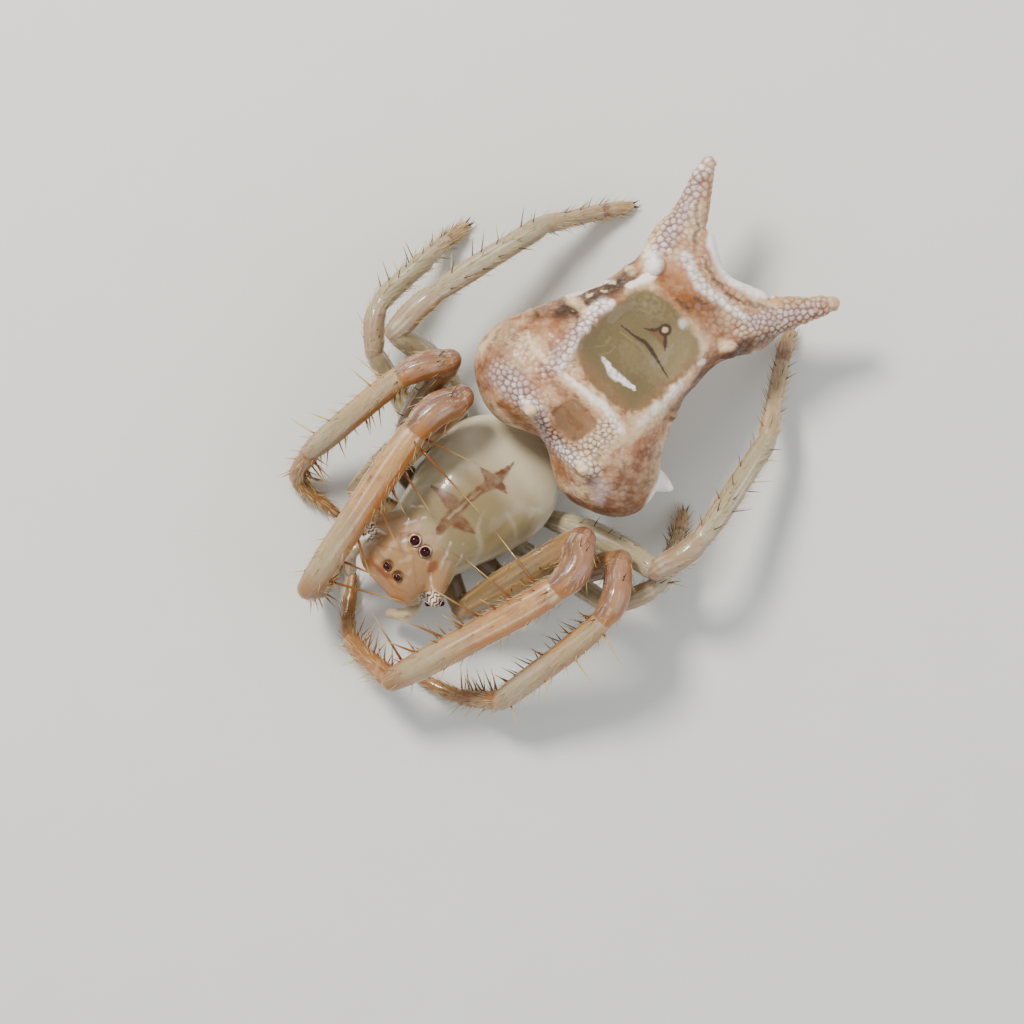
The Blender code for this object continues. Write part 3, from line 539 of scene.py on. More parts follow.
def limbsOf(name):
    # each limb's curve and radii, from the hip outwards
    coxa, trochanter, knee, patella, tibia, metatarsus, claws, bow = (Vector(p) for p in legPoses[name])
    hip, thigh, cap, shin, foot, toe = legGirth[int(name[4])]
    return {
        "hip": ([coxa, trochanter], ((0, hip), (0.8, hip * 0.86), (1, hip * 0.8))),
        "thigh": ([trochanter, trochanter.lerp(knee, 0.5) + bow, knee],
                  ((0, thigh * 0.66), (0.12, thigh * 0.78), (0.7, thigh), (1.5, thigh * 0.93),
                   (1.85, cap * 0.95), (2, cap * 0.82))),
        "shank": ([knee, patella, tibia],
                  ((0, cap * 0.84), (0.2, cap * 0.97), (0.55, cap), (0.86, cap * 0.96), (0.95, cap * 0.84),
                   (1.0, cap * 0.78), (1.05, shin * 0.92), (1.3, shin), (1.8, shin * 0.96),
                   (1.93, foot * 1.22), (2, foot * 1.02))),
        "foot": ([tibia, metatarsus, claws],
                 ((0, foot * 0.96), (0.1, foot * 1.06), (0.5, foot * 0.92), (0.9, foot * 0.88),
                  (0.98, toe * 1.02), (1.1, toe * 1.08), (1.6, toe * 0.95), (2, toe * 0.68))),
    }


def crossways(points, step):
    # the way along a limb, up from it and towards the space between the front legs
    centre = onCurve(points, step)
    way = (onCurve(points, step + 0.04) - onCurve(points, step - 0.04)).normalized()
    up = (Vector((0, 0, 1)) - way * way.z).normalized()
    inner = way.cross(up)
    if inner.dot(Vector((*legLook["embrace"], centre.z)) - centre) < 0:
        inner.negate()
    return centre, way, up, inner


def limbPlaces(name, co):
    # for each point of a leg's skin: which limb, how far along it and the turn from its top
    order = ("hip", "thigh", "shank", "foot")
    centres, radii, labels, frames = [], [], [], []
    for index, limb in enumerate(order):
        points, girth = limbsOf(name)[limb]
        steps = 60 * (len(points) - 1)
        for i in range(steps + 1):
            step = (len(points) - 1) * i / steps
            centre, way, up, inner = crossways(points, step)
            centres.append(centre)
            radii.append(stations(girth, step))
            labels.append((index, step))
            frames.append((up, inner))
    centres, radii = np.array(centres), np.array(radii)
    labels, frames = np.array(labels), np.array(frames)
    nearest = np.zeros(len(co), dtype=int)
    for start in range(0, len(co), 4000):
        part = co[start:start + 4000]
        apart = np.linalg.norm(part[:, None, :] - centres[None], axis=2) / radii[None]
        nearest[start:start + 4000] = apart.argmin(axis=1)
    offset = co - centres[nearest]
    up = (offset * frames[nearest, 0]).sum(axis=1)
    inner = (offset * frames[nearest, 1]).sum(axis=1)
    return labels[nearest, 0], labels[nearest, 1], np.arctan2(inner, up)


def paintLeg(name, co):
    pair = int(name[4])
    limb, step, turn = limbPlaces(name, co)
    # grows towards the spider's left, where light shining through the leg comes out; amber and orange laid
    # towards it stand for that light
    lit = turn if name.endswith("right") else -turn
    aside = np.abs(turn)
    wander = cloud(co, 2.4, pair)
    fine = cloud(co, 9.0, pair + 3)

    def drawnOut(along, around, seed):   # noise stretched along the limb
        return np.array([noise.noise(Vector((s * along + l * 5, t * around, seed)))
                         for l, s, t in zip(limb, step, turn)])

    streak = drawnOut(1.6, 4.0, pair)
    thread = drawnOut(4.0, 11.0, pair + 9)
    thigh, shank, foot = limb == 1, limb == 2, limb == 3
    cap = shank * (1 - eased(0.94, 0.99, step))
    shin = shank * eased(0.96, 1.02, step)
    edge = band(aside, 1.50, 0.16, 0.6)     # the outline seen from above, where a bright line is painted as a highlight
    inside = band(aside, 1.12, 0.16, 0.8)   # the line that shines through beside it, partly the leg's own and partly painted refraction
    paint = Paint(legLook, "clear" if pair < 3 else "glass", len(co))
    if pair < 3:
        paint.lay("pale", 0.55 * eased(-0.1, 0.5, streak) * thigh)
        paint.lay("tan", 0.55 * thigh * eased(1.3, 1.9, step))
        paint.lay("rust", 0.90 * thigh * oval(step, lit, (1.60, 0.75), (0.13, 0.30), soft=0.5))
        paint.lay("rust", 0.70 * thigh * oval(step, lit, (1.60, -1.2), (0.10, 0.25), soft=0.5))
        paint.lay("pinkish", cap)
        # painted light: amber on the kneecap's side where light shining through it comes out
        paint.lay("amber", 0.85 * cap * eased(0.45, 1.05, lit + 0.30 * wander))
        paint.lay("violet", 0.80 * cap * eased(0.05, 0.30, streak + 0.3 * thread) * eased(0.7, 0.3, lit))
        paint.lay("violet", 0.60 * cap * band(lit, -0.45, 0.35, 0.7))
        paint.lay("pale", 0.55 * cap * band(lit, -0.05, 0.22, 0.8)
                     * eased(-0.2, 0.3, streak))
        # painted highlights: white glints along the kneecap's top and its side towards the key lamp
        paint.lay("white", 0.35 * cap * eased(0.18, 0.38, thread) * eased(0.5, 0.1, lit))
        paint.lay("rust", 0.60 * cap * oval(lit, step, (1.25, 0.5), (0.10, 0.40), soft=0.5))
        # the orange end of the kneecap, kept to the side where light shines through, so partly painted light
        paint.lay("orange", 0.75 * shank * band(step, 0.93, 0.06, 0.7)
                     * eased(-0.6, 0.6, lit))
        paint.lay("pale", shin)
        paint.lay("glass", 0.8 * shin * eased(1.35, 1.85, step + 0.2 * wander))
        paint.lay("pinkish", 0.60 * shin * eased(0.0, 0.35, wander + 0.5 * fine)
                     * eased(1.75, 1.4, step))
        # painted highlights: white lengthwise streaks on the top of the shin
        paint.lay("white", 0.35 * shin * eased(0.10, 0.40, streak) * eased(0.9, 0.5, aside))
        paint.lay("violet", 0.15 * shin * eased(0.15, 0.40, -thread) * eased(0.9, 0.6, aside))
        # painted light: an orange glow on the shin's side where light shining through it comes out
        glow = eased(0.25, 0.75, lit + 0.3 * wander) * (1 - eased(1.9, 2.3, lit))
        fades = eased(1.02, 1.12, step) * (1 - 0.75 * eased(1.45, 1.75, step + 0.15 * wander))
        paint.lay("orange", 0.90 * shin * glow * fades)
        # the darker line beside the outline: partly the leg's own, partly painted refraction
        paint.lay("tan", 0.60 * shin * inside)
        paint.lay("amber", 0.65 * shin * band(step, 1.99, 0.07, 0.9))
        if pair == 2:
            paint.lay("glass", 0.60 * shin * eased(1.0, 0.6, aside))
            paint.lay("line", 0.25 * shin * eased(0.20, 0.40, -thread))
        paint.lay("tan", 0.90 * foot)
        paint.lay("beige", 0.60 * foot * eased(0.0, 0.4, fine))
        paint.lay("rust", 0.45 * foot * eased(0.15, 0.45, thread))
    else:
        paint.lay("white", 0.35 * eased(0.1, 0.5, streak))
        paint.lay("line", 0.14 * eased(0.20, 0.45, -thread))
        paint.lay("pinkish", 0.45 * cap * eased(-0.4, 0.4, wander))
        # the darker line beside the outline: partly the leg's own, partly painted refraction
        paint.lay("tan", 0.70 * (shank + foot) * inside * (0.6 + 0.4 * eased(-0.3, 0.3, wander)))
        paint.lay("beige", 0.45 * foot)
        paint.lay("rust", 0.60 * foot * band(step, 1.06, 0.10, 0.7))
        paint.lay("beige", 0.80 * foot * eased(1.15, 1.35, step))
    # painted highlight: a bright line along the outline seen from above
    paint.lay("white", 0.45 * (thigh + shank) * edge * (0.6 + 0.8 * fine))
    joint = np.maximum(shank * band(step, 0.995, 0.022, 0.4),
                       foot * band(step, 0.97, 0.035, 0.4))
    joint = np.maximum(joint, shank * band(step, 0.03, 0.03, 0.4))
    paint.lay("rust", 0.55 * joint)
    return paint.tint


def makeLegs():
    skins = []
    for name in legPoses:
        tubes = [limbTube(f"{name}_{limb}", points, girth, bluntness=0.55 if limb == "shank" else 1.0)
                 for limb, (points, girth) in limbsOf(name).items()]
        skin = oneSkin(tubes, f"{name}_skin", legLook["voxel"], legLook["smoothing"])
        co = corners(skin.data)
        co[:, 2] = np.maximum(co[:, 2], 0.0)   # the feet are flat where they stand
        setCorners(skin.data, co)
        setTint(skin.data, paintLeg(name, co))
        skins.append(skin)
    return skins


# Abdomen with its two horns

hump = {
    "voxel": 0.027, "smoothing": 6, "hornPull": 0.15, "roll": 8.0, "rollAt": (0.0, 1.40, 1.40),
    "hornSmoothing": 14, "beadSpacing": 0.085, "beadHeight": 0.026, "grainHeight": 0.010, "cell": 0.2,
    "hornRise": 0.035, "windowDip": 0.03, "rimWidth": 0.26,
    "base": tone(196, 160, 124), "white": tone(254, 252, 248), "cream": tone(236, 214, 178),
    "lilac": tone(196, 174, 174), "pink": tone(186, 134, 96), "brown": tone(122, 80, 44),
    "tan": tone(152, 100, 44), "rust": tone(122, 70, 24), "maroon": tone(86, 50, 24),
    "dark": tone(72, 50, 20), "clear": tone(126, 112, 76), "clearLight": tone(148, 134, 98),
    "rosy": tone(152, 118, 82), "belly": tone(164, 130, 88), "seam": tone(108, 74, 54),
    "glossy": 1.0, "dull": 0.2,
}
windowPlace = {"rear": ((0.02, 2.80), (0.82, 0.94)), "front": ((0.17, 1.19), (0.33, 0.28))}
patches = (   # colour, strength, then x, y and width: broad places first, fine ones over them
    ("brown", 0.75, (1.4, 1.75, 0.35), (1.56, 1.35, 0.75), (1.66, 0.95, 0.6)),
    ("rust", 0.75, (1.1, 0.3, 0.2), (1.5, 0.36, 0.3), (1.9, 0.72, 0.3), (2.05, 1.1, 0.2)),
    ("lilac", 0.75, (1.3, 0.78, 0.3), (1.46, 0.66, 0.2)),
    ("brown", 0.5, (-1.7, 1.35, 0.4), (-1.45, 1.0, 0.55), (-1.3, 0.6, 0.3)),
    ("cream", 0.6, (-1.95, 1.55, 0.2), (-2.0, 1.05, 0.26), (-1.75, 0.75, 0.16)),
    ("lilac", 0.85, (-1.2, 0.82, 0.34), (-0.86, 0.86, 0.4), (-0.66, 0.92, 0.3)),
    ("tan", 0.9, (-0.85, 0.52, 0.12), (-0.45, 0.55, 0.22), (-0.15, 0.6, 0.1)),
    ("tan", 0.7, (0.45, 0.52, 0.12), (0.85, 0.5, 0.16)),
    ("tan", 0.65, (-1.5, 1.7, 0.2), (-1.18, 2.05, 0.42), (-0.92, 2.0, 0.22)),
    ("brown", 0.8, (-1.56, 1.98, 0.22), (-1.42, 2.2, 0.3), (-1.24, 2.42, 0.2)),
    ("pink", 0.6, (-0.66, 1.05, 0.24), (-0.62, 1.36, 0.2)),
    ("pink", 0.45, (1.06, 1.3, 0.2), (1.16, 1.75, 0.24), (1.12, 2.2, 0.2)),
    ("tan", 0.95, (-0.6, 3.92, 0.26), (-0.1, 3.98, 0.44), (0.4, 4.06, 0.5), (0.92, 4.0, 0.36)),
    ("brown", 0.6, (0.0, 3.86, 0.14), (0.1, 4.1, 0.18), (0.42, 4.26, 0.1)),
    ("dark", 0.65, (-0.16, 3.86, 0.05), (0.08, 3.88, 0.1)),
    ("dark", 0.6, (0.02, 4.12, 0.07), (0.2, 4.17, 0.06)),
    ("rust", 0.85, (0.98, 3.55, 0.18), (1.04, 3.8, 0.3), (1.16, 4.25, 0.24)),
    ("maroon", 0.95, (1.1, 3.46, 0.12), (1.16, 3.85, 0.22), (1.24, 4.2, 0.14)),
    ("maroon", 0.8, (1.14, 4.2, 0.26), (1.32, 4.6, 0.22), (1.46, 5.0, 0.1)),
    ("brown", 0.9, (-1.32, 2.16, 0.22), (-1.24, 2.44, 0.4), (-1.13, 2.9, 0.36), (-1.0, 3.24, 0.32),
     (-0.94, 3.6, 0.26)),
    ("dark", 1.0, (-1.34, 2.22, 0.16), (-1.26, 2.44, 0.32), (-1.16, 2.88, 0.3), (-1.05, 3.2, 0.27),
     (-0.99, 3.55, 0.2)),
    ("brown", 0.8, (-1.14, 3.72, 0.12), (-1.22, 4.05, 0.1), (-1.4, 4.5, 0.06)),
    ("dark", 0.95, (-1.34, 2.42, 0.08), (-1.08, 2.42, 0.06), (-0.96, 2.32, 0.03)),
    ("maroon", 0.9, (1.14, 2.6, 0.22), (1.13, 3.0, 0.18), (1.04, 3.4, 0.14)),
    ("maroon", 0.8, (1.18, 2.42, 0.13), (1.3, 2.48, 0.09)),
    ("brown", 0.7, (1.34, 1.74, 0.17), (1.44, 1.7, 0.12)),
    ("brown", 0.6, (0.12, 1.44, 0.04), (0.44, 1.34, 0.05), (0.46, 1.08, 0.06)),
    ("rust", 0.65, (-0.14, 1.02, 0.1), (-0.1, 1.26, 0.07)),
    ("brown", 0.6, (-0.66, 2.1, 0.12), (-0.7, 2.4, 0.07)),
    ("maroon", 0.75, (-0.42, 4.64, 0.05), (-0.06, 4.55, 0.07), (0.34, 4.56, 0.07), (0.64, 4.66, 0.04)),
    ("maroon", 0.65, (-0.58, 4.6, 0.07), (-0.8, 4.86, 0.08), (-1.1, 5.15, 0.06), (-1.3, 5.4, 0.03)),
    ("maroon", 0.55, (-1.02, 4.5, 0.1), (-1.22, 4.62, 0.05)),
    ("maroon", 0.65, (0.6, 4.68, 0.08), (0.86, 4.84, 0.1), (1.1, 5.02, 0.03)),
    ("cream", 0.8, (-1.06, 4.22, 0.1), (-1.34, 4.72, 0.14), (-1.55, 5.3, 0.1)),
    ("lilac", 0.85, (-0.98, 4.3, 0.24), (-1.12, 4.8, 0.22), (-1.42, 5.5, 0.16)),
    ("lilac", 0.8, (0.96, 4.56, 0.24), (1.2, 4.95, 0.22), (1.48, 5.5, 0.16)),
    ("cream", 0.85, (-1.4, 1.6, 0.06), (-1.1, 1.5, 0.1), (-0.74, 1.56, 0.14)),
    ("cream", 0.95, (-1.36, 2.56, 0.2), (-1.1, 2.56, 0.14), (-0.88, 2.52, 0.15)),
    ("cream", 0.9, (-1.22, 2.8, 0.08), (-1.2, 2.86, 0.07)),
    ("cream", 0.85, (-1.12, 3.02, 0.06), (-1.08, 3.06, 0.05)),
    ("cream", 0.9, (-1.12, 3.24, 0.07), (-1.08, 3.3, 0.05)),
    ("white", 0.95, (-1.44, 2.55, 0.09), (-1.35, 2.8, 0.09), (-1.19, 3.22, 0.06)),
    ("lilac", 0.8, (-0.72, 1.62, 0.28), (-0.8, 1.98, 0.24), (-0.86, 2.5, 0.2)),
    ("white", 0.6, (-0.62, 1.6, 0.1), (-0.74, 2.0, 0.12), (-0.8, 2.4, 0.12)),
    ("cream", 0.95, (-0.52, 1.54, 0.12), (-0.05, 1.64, 0.15), (0.44, 1.72, 0.22), (0.8, 1.64, 0.24)),
    ("white", 0.8, (-0.48, 1.59, 0.06), (-0.05, 1.67, 0.09), (0.36, 1.73, 0.12), (0.8, 1.66, 0.1)),
    ("pink", 0.4, (1.1, 1.66, 0.24), (1.12, 2.2, 0.3), (1.06, 2.8, 0.2)),
    ("cream", 0.75, (1.0, 1.66, 0.2), (0.99, 2.24, 0.26), (0.92, 2.9, 0.22), (0.9, 3.16, 0.16)),
    ("white", 0.6, (0.94, 2.0, 0.1), (0.93, 2.5, 0.13), (0.9, 2.95, 0.12)),
    ("white", 0.85, (0.86, 3.42, 0.1), (0.9, 3.52, 0.08)),
    ("lilac", 0.8, (-0.3, 0.96, 0.1), (-0.24, 0.8, 0.14), (0.1, 0.7, 0.16), (0.4, 0.76, 0.2)),
    ("cream", 0.8, (0.62, 1.52, 0.26), (0.66, 1.2, 0.32), (0.8, 0.9, 0.3)),
    ("white", 0.8, (0.3, 0.78, 0.1), (0.62, 0.8, 0.2), (0.98, 0.86, 0.1)),
    ("white", 0.9, (-0.74, 0.86, 0.08), (-0.54, 0.8, 0.18), (-0.42, 0.88, 0.1)),
    ("white", 0.95, (-0.98, 2.62, 0.1), (-0.9, 2.86, 0.24), (-0.84, 3.02, 0.1)),
    ("white", 0.6, (-0.86, 2.34, 0.12), (-0.9, 2.6, 0.14)),
    ("cream", 0.8, (-1.02, 3.62, 0.15), (-1.06, 3.6, 0.13)),
    ("white", 0.95, (-0.86, 3.42, 0.11), (-0.72, 3.84, 0.13)),
    ("white", 0.9, (-1.06, 4.1, 0.24), (-0.88, 3.96, 0.26)),
    ("cream", 0.9, (0.92, 3.94, 0.22), (0.98, 4.02, 0.18)),
    ("white", 0.85, (-0.6, 4.46, 0.18), (-0.12, 4.32, 0.16), (0.36, 4.4, 0.16), (0.8, 4.5, 0.12)),
    ("white", 0.97, (-0.8, 5.2, 0.06), (-0.46, 4.9, 0.17), (0.1, 4.74, 0.19), (0.6, 4.88, 0.17),
     (0.92, 5.12, 0.05)),
    ("white", 0.85, (-1.5, 5.62, 0.16), (-1.6, 5.84, 0.14)),
)
whiteBar = ((-0.24, 2.27, 0.1), (0.08, 2.23, 0.15), (0.48, 2.34, 0.05))
forkRim = ((-0.8, 5.2), (-0.46, 4.9), (0.1, 4.74), (0.6, 4.88), (0.92, 5.12))
windowLines = (   # the dark lines and the ring mark seen through the rear window
    ("clearLight", 0.7, (-0.4, 2.8, 0.03), (0.02, 2.89, 0.04), (0.34, 2.84, 0.05), (0.66, 2.8, 0.03)),
    ("dark", 0.95, (-0.47, 2.88, 0.02), (-0.22, 2.92, 0.035), (0.01, 2.985, 0.07), (0.16, 2.98, 0.075)),
    ("dark", 0.95, (0.16, 2.98, 0.075), (0.34, 2.95, 0.055), (0.7, 2.88, 0.015)),
    ("rust", 0.55, (-0.1, 3.18, 0.06), (0.08, 3.28, 0.22), (0.28, 3.2, 0.08)),
    ("dark", 0.85, (-0.18, 3.13, 0.02), (-0.04, 3.24, 0.06), (0.0, 3.32, 0.06)),
    ("dark", 0.9, (0.14, 3.34, 0.05), (0.24, 3.24, 0.07), (0.35, 3.14, 0.015)),
    ("clearLight", 0.6, (-0.5, 2.3, 0.02), (-0.4, 2.46, 0.03), (-0.44, 2.62, 0.02)),
    ("clearLight", 0.6, (-0.36, 2.26, 0.02), (-0.26, 2.42, 0.03), (-0.28, 2.58, 0.02)),
    ("clearLight", 0.7, (-0.44, 3.3, 0.02), (-0.3, 3.38, 0.04), (-0.34, 3.5, 0.03), (-0.2, 3.56, 0.02)),
)
beadZones = (   # where the granules stand out: strength, then x, y and width
    (0.9, (-1.25, 0.85, 0.4), (-0.66, 0.88, 0.44), (-0.42, 0.9, 0.3)),
    (0.8, (-0.72, 1.4, 0.34), (-0.78, 1.98, 0.34), (-0.9, 2.8, 0.3)),
    (1.0, (-0.2, 0.82, 0.22), (0.4, 0.8, 0.34), (0.96, 0.9, 0.36)),
    (1.0, (0.66, 1.52, 0.4), (0.68, 1.1, 0.44)),
    (0.95, (-0.98, 4.3, 0.4), (-1.2, 4.8, 0.5), (-1.6, 5.85, 0.4)),
    (0.95, (0.9, 4.4, 0.4), (1.2, 4.85, 0.5), (1.58, 5.65, 0.4)),
    (0.6, (-0.6, 4.4, 0.22), (0.1, 4.34, 0.22), (0.8, 4.5, 0.22)),
    (0.15, (1.9, 1.1, 0.5), (1.3, 0.5, 0.4)),
    (0.15, (-1.6, 1.2, 0.7), (-1.3, 1.7, 0.5)),
)
swellings = (   # raised knobs and ridges: height, then x, y and width
    (0.06, (-1.06, 4.12, 0.32), (-0.86, 3.96, 0.34)),
    (0.06, (1.6, 1.62, 0.6), (1.82, 1.66, 0.4)),
    (0.035, (-0.8, 5.2, 0.1), (-0.46, 4.9, 0.22), (0.1, 4.74, 0.24), (0.6, 4.88, 0.22), (0.92, 5.12, 0.1)),
    (0.055, (-1.04, 3.62, 0.2), (-1.05, 3.6, 0.18)),
    (0.06, (0.9, 3.92, 0.36), (0.98, 4.02, 0.3)),
    (0.045, (-0.52, 1.56, 0.18), (-0.05, 1.66, 0.22), (0.44, 1.72, 0.28), (0.8, 1.64, 0.3)),
    (0.04, (0.98, 1.66, 0.34), (0.97, 2.24, 0.38), (0.92, 3.1, 0.24)),
    (0.04, (-0.7, 1.6, 0.3), (-0.8, 2.0, 0.28), (-0.92, 2.9, 0.3)),
    (0.04, (-0.86, 3.42, 0.18), (-0.72, 3.84, 0.2)),
    (0.035, (-0.6, 4.44, 0.2), (0.1, 4.33, 0.2), (0.8, 4.48, 0.2)),
    (0.05, (-0.28, 0.9, 0.14), (0.1, 0.74, 0.2), (0.62, 0.8, 0.32), (1.02, 0.9, 0.2)),
    (0.05, (-0.8, 0.86, 0.24), (-0.44, 0.84, 0.22)),
    (0.012, (-0.26, 2.26, 0.1), (0.08, 2.24, 0.14), (0.46, 2.34, 0.08)),
    (0.035, (-1.3, 2.54, 0.16), (-0.92, 2.8, 0.16)),
)


def broadness(path):
    # wide strokes fade out more softly than fine ones
    return min(0.85, 0.30 + 1.4 * max(width for x, y, width in path))


def paintHump(co, normals, beadNear, beadTone, beadBold):
    x, y, z = co.T
    wander = cloud(co, 2.0, 1)
    small = cloud(co, 6.0, 2)
    fine = cloud(co, 15.0, 3)
    grainy = cloud(co, 30.0, 4)
    plainX, plainY = x + 0.010 * fine, y - 0.010 * fine
    edgeX, edgeY = x + 0.06 * small + 0.03 * fine, y + 0.05 * small - 0.03 * fine
    x = x + 0.030 * small + 0.022 * fine
    y = y + 0.030 * small - 0.022 * fine
    top = eased(-0.15, 0.2, normals[:, 2])
    paint = Paint(hump, "base", len(co))
    paint.lay("cream", 0.70 * eased(-0.05, 0.35, wander + 0.5 * small))
    paint.lay("pink", 0.70 * eased(-0.1, 0.30, -wander + 0.6 * small))
    marble = eased(0.05, 0.30, small + 0.6 * fine + 0.4 * grainy)
    paint.lay("brown", 0.60 * marble * eased(2.9, 2.3, y))
    paint.lay("cream", 0.35 * eased(0.15, 0.40, fine - 0.5 * small))
    for colour, strength, *path in patches:
        mark = stroke(x, y, path, broadness(path))
        ragged = (1.05 + 0.7 * small + 0.7 * fine).clip(0.7 if colour == "dark" else 0.35, 1.0)
        paint.lay(colour, strength * mark * top * ragged)
    rear = boxed(edgeX, edgeY, *windowPlace["rear"], soft=0.06)
    front = boxed(edgeX, edgeY, *windowPlace["front"], soft=0.12)
    granular = (1 - top * rear) * (1 - top * front)
    light = blend(paint.tint, hump["white"], 0.10 + 0.40 * beadTone)
    paint.tint = paint.tint + (light - paint.tint) * (0.8 * granular * beadNear * beadBold)[:, None]
    paint.lay("seam", 0.85 * granular * (1 - beadNear) * beadBold)
    clear = Paint(hump, "clear", len(co))
    clear.lay("clearLight", 0.5 * eased(0.10, 0.5, wander + 0.4 * fine))
    clear.lay("clearLight", 0.8 * oval(x, y, (0.42, 3.20), (0.34, 0.46), soft=0.5))
    clear.lay("clearLight", 0.6 * oval(x, y, (-0.40, 3.45), (0.30, 0.24), soft=0.5)
                  * (0.5 + fine).clip(0, 1))
    clear.lay("rosy", 0.60 * eased(2.20, 1.95, y))
    clear.lay("rosy", 0.50 * eased(0.62, 0.80, np.abs(x)))
    shown = stroke(x, y, whiteBar, 0.35)
    clear.lay("white", 0.95 * shown * (0.85 + 0.6 * fine).clip(0.4, 1))
    clear.lay("white", 0.45 * oval(x, y, (0.20, 3.68), (0.09, 0.07), soft=0.6))
    paint.tint = paint.tint + (clear.tint - paint.tint) * (top * rear)[:, None]
    rosy = Paint(hump, "rosy", len(co))
    rosy.lay("rust", 0.4 * eased(0.1, 0.4, small + 0.4 * fine))
    paint.tint = paint.tint + (rosy.tint - paint.tint) * (0.94 * top * front)[:, None]
    for colour, strength, *path in windowLines:
        paint.lay(colour, strength * stroke(plainX, plainY, path, 0.35) * top)
    ring = np.abs(np.hypot(plainX - 0.08, plainY - 3.38) - 0.085)
    paint.lay("dark", 0.90 * eased(0.038, 0.014, ring) * top)
    paint.lay("cream", 0.60 * oval(plainX, plainY, (0.08, 3.38), (0.05, 0.05)) * top)
    tip = co[np.argmax(np.where(np.abs(plainY - 1.7) < 0.35, plainX, -9))]   # of the side spike
    paint.lay("white", 0.95 * eased(0.66, 0.46, np.linalg.norm(co - tip, axis=1)))
    for side in (1, -1):   # the tips of the two brow tubercles
        near = np.hypot(plainX - 0.58 * side, plainY - 0.78) < 0.34
        tip = co[np.argmax(np.where(near, z - plainY, -9))]
        paint.lay("cream", 0.85 * eased(0.24, 0.10, np.linalg.norm(co - tip, axis=1)))
    under = eased(0.0, -0.5, normals[:, 2])
    paint.lay("belly", 0.75 * under * (0.5 + 0.5 * beadNear))
    paint.lay("cream", 0.45 * eased(5.60, 5.9, y))
    return paint.tint


def strewn(co, spacing, seed):
    # points of the surface that keep a distance from one another
    order = list(range(len(co)))
    random.Random(seed).shuffle(order)
    around = list(itertools.product((-1, 0, 1), repeat=3))
    cells, chosen = {}, []
    for index in order:
        p = co[index]
        gap = spacing[index]
        key = tuple((p // hump["cell"]).astype(int))
        others = (co[other] for dx, dy, dz in around
                  for other in cells.get((key[0] + dx, key[1] + dy, key[2] + dz), ()))
        if not any((p[0] - q[0]) ** 2 + (p[1] - q[1]) ** 2 + (p[2] - q[2]) ** 2 < gap * gap
                   for q in others):
            chosen.append(index)
            cells.setdefault(key, []).append(index)
    return chosen


def makeHump():
    roll = Matrix.Translation(hump["rollAt"]) @ Matrix.Rotation(math.radians(hump["roll"]), 4, "Y") \
        @ Matrix.Translation(-Vector(hump["rollAt"]))
    parts = [cadCopy("abdomen", 2)]
    for side, word in ((1, "left"), (-1, "right")):
        horn = cadCopy(f"tail_horn_{word}", 2)
        start = roll @ Vector((1.07 * side, 4.88, 1.75))
        way = (roll.to_3x3() @ Vector((0.36 * side, 0.93, 0.03))).normalized()
        co = corners(horn.data)
        along = (co - np.array(start)) @ np.array(way)
        co -= np.array(way) * (hump["hornPull"] * (1 - np.clip(along / 1.3, 0, 1)))[:, None]
        setCorners(horn.data, co)
        parts.append(horn)
    nozzles = cadCopy("spinnerets")
    setCorners(nozzles.data, corners(nozzles.data) + np.array((0.0, 0.0, hump["hornPull"])))
    parts.append(nozzles)
    whole = oneSkin(parts, "abdomen_skin", hump["voxel"], hump["smoothing"])
    mesh = whole.data
    for middle, size in windowPlace.values():
        finer(mesh, lambda v: v.normal.z > 0.3 and abs(v.co.x - middle[0]) < size[0]
              and abs(v.co.y - middle[1]) < size[1])
    bm = bmesh.new()
    bm.from_mesh(mesh)
    tails = [v for v in bm.verts if v.co.y + 0.25 * abs(v.co.x) > 4.9]
    for i in range(hump["hornSmoothing"]):
        bmesh.ops.smooth_vert(bm, verts=tails, factor=0.5, use_axis_x=True, use_axis_y=True, use_axis_z=True)
    bm.to_mesh(mesh)
    bm.free()
    co, normals = corners(mesh), outwards(mesh)
    x, y = co[:, 0], co[:, 1]
    top = eased(-0.15, 0.2, normals[:, 2])
    patchy = cloud(co, 1.8, 9)
    horn = eased(4.2, 4.8, y + 0.25 * np.abs(x))
    spacing = hump["beadSpacing"] * (1 + 0.30 * patchy + 0.05 * horn)
    chosen = strewn(co, spacing, 5)
    tree = KDTree(len(chosen))
    for i, index in enumerate(chosen):
        tree.insert(co[index], i)
    tree.balance()
    draw = random.Random(11)
    tones = [draw.random() for i in chosen]
    beadNear, beadTone = np.zeros(len(co)), np.zeros(len(co))
    for i, p in enumerate(co):
        (first, a, da), (second, b, db) = tree.find_n(p, 2)
        beadNear[i] = (db - da) / max(db + da, 1e-6)
        beadTone[i] = tones[a]
    beadNear = eased(0.02, 0.40, beadNear)
    beadBold = 0.14 + 0.10 * patchy + 0.25 * horn
    for strength, *path in beadZones:
        beadBold = np.maximum(beadBold, strength * stroke(x, y, path, 0.8))
    beadBold = (beadBold + 0.15 * patchy).clip(0.05, 1.0)
    smoothRim = stroke(x, y, [(*point, hump["rimWidth"]) for point in forkRim], 0.3)
    beadBold *= 1 - 0.9 * smoothRim
    plain = np.maximum(boxed(x, y, *windowPlace["rear"]), boxed(x, y, *windowPlace["front"])) * top
    height = hump["beadHeight"] * (beadNear - 0.6) * (1 - plain) * beadBold
    height += hump["grainHeight"] * (cloud(co, 5.0, 21) + 0.7 * cloud(co, 12.0, 22)) * (1 - 0.8 * plain)
    for rise, *path in swellings:
        height += rise * stroke(x, y, path, 0.9) * top
    height += hump["hornRise"] * horn - hump["windowDip"] * plain
    setCorners(mesh, co + normals * height[:, None])
    gloss = hump["dull"] + (hump["glossy"] - hump["dull"]) * plain
    setTint(mesh, paintHump(co, normals, beadNear, beadTone, beadBold), gloss)
    cleaned(mesh)
    return whole


# Jaws and feelers beside the mouth

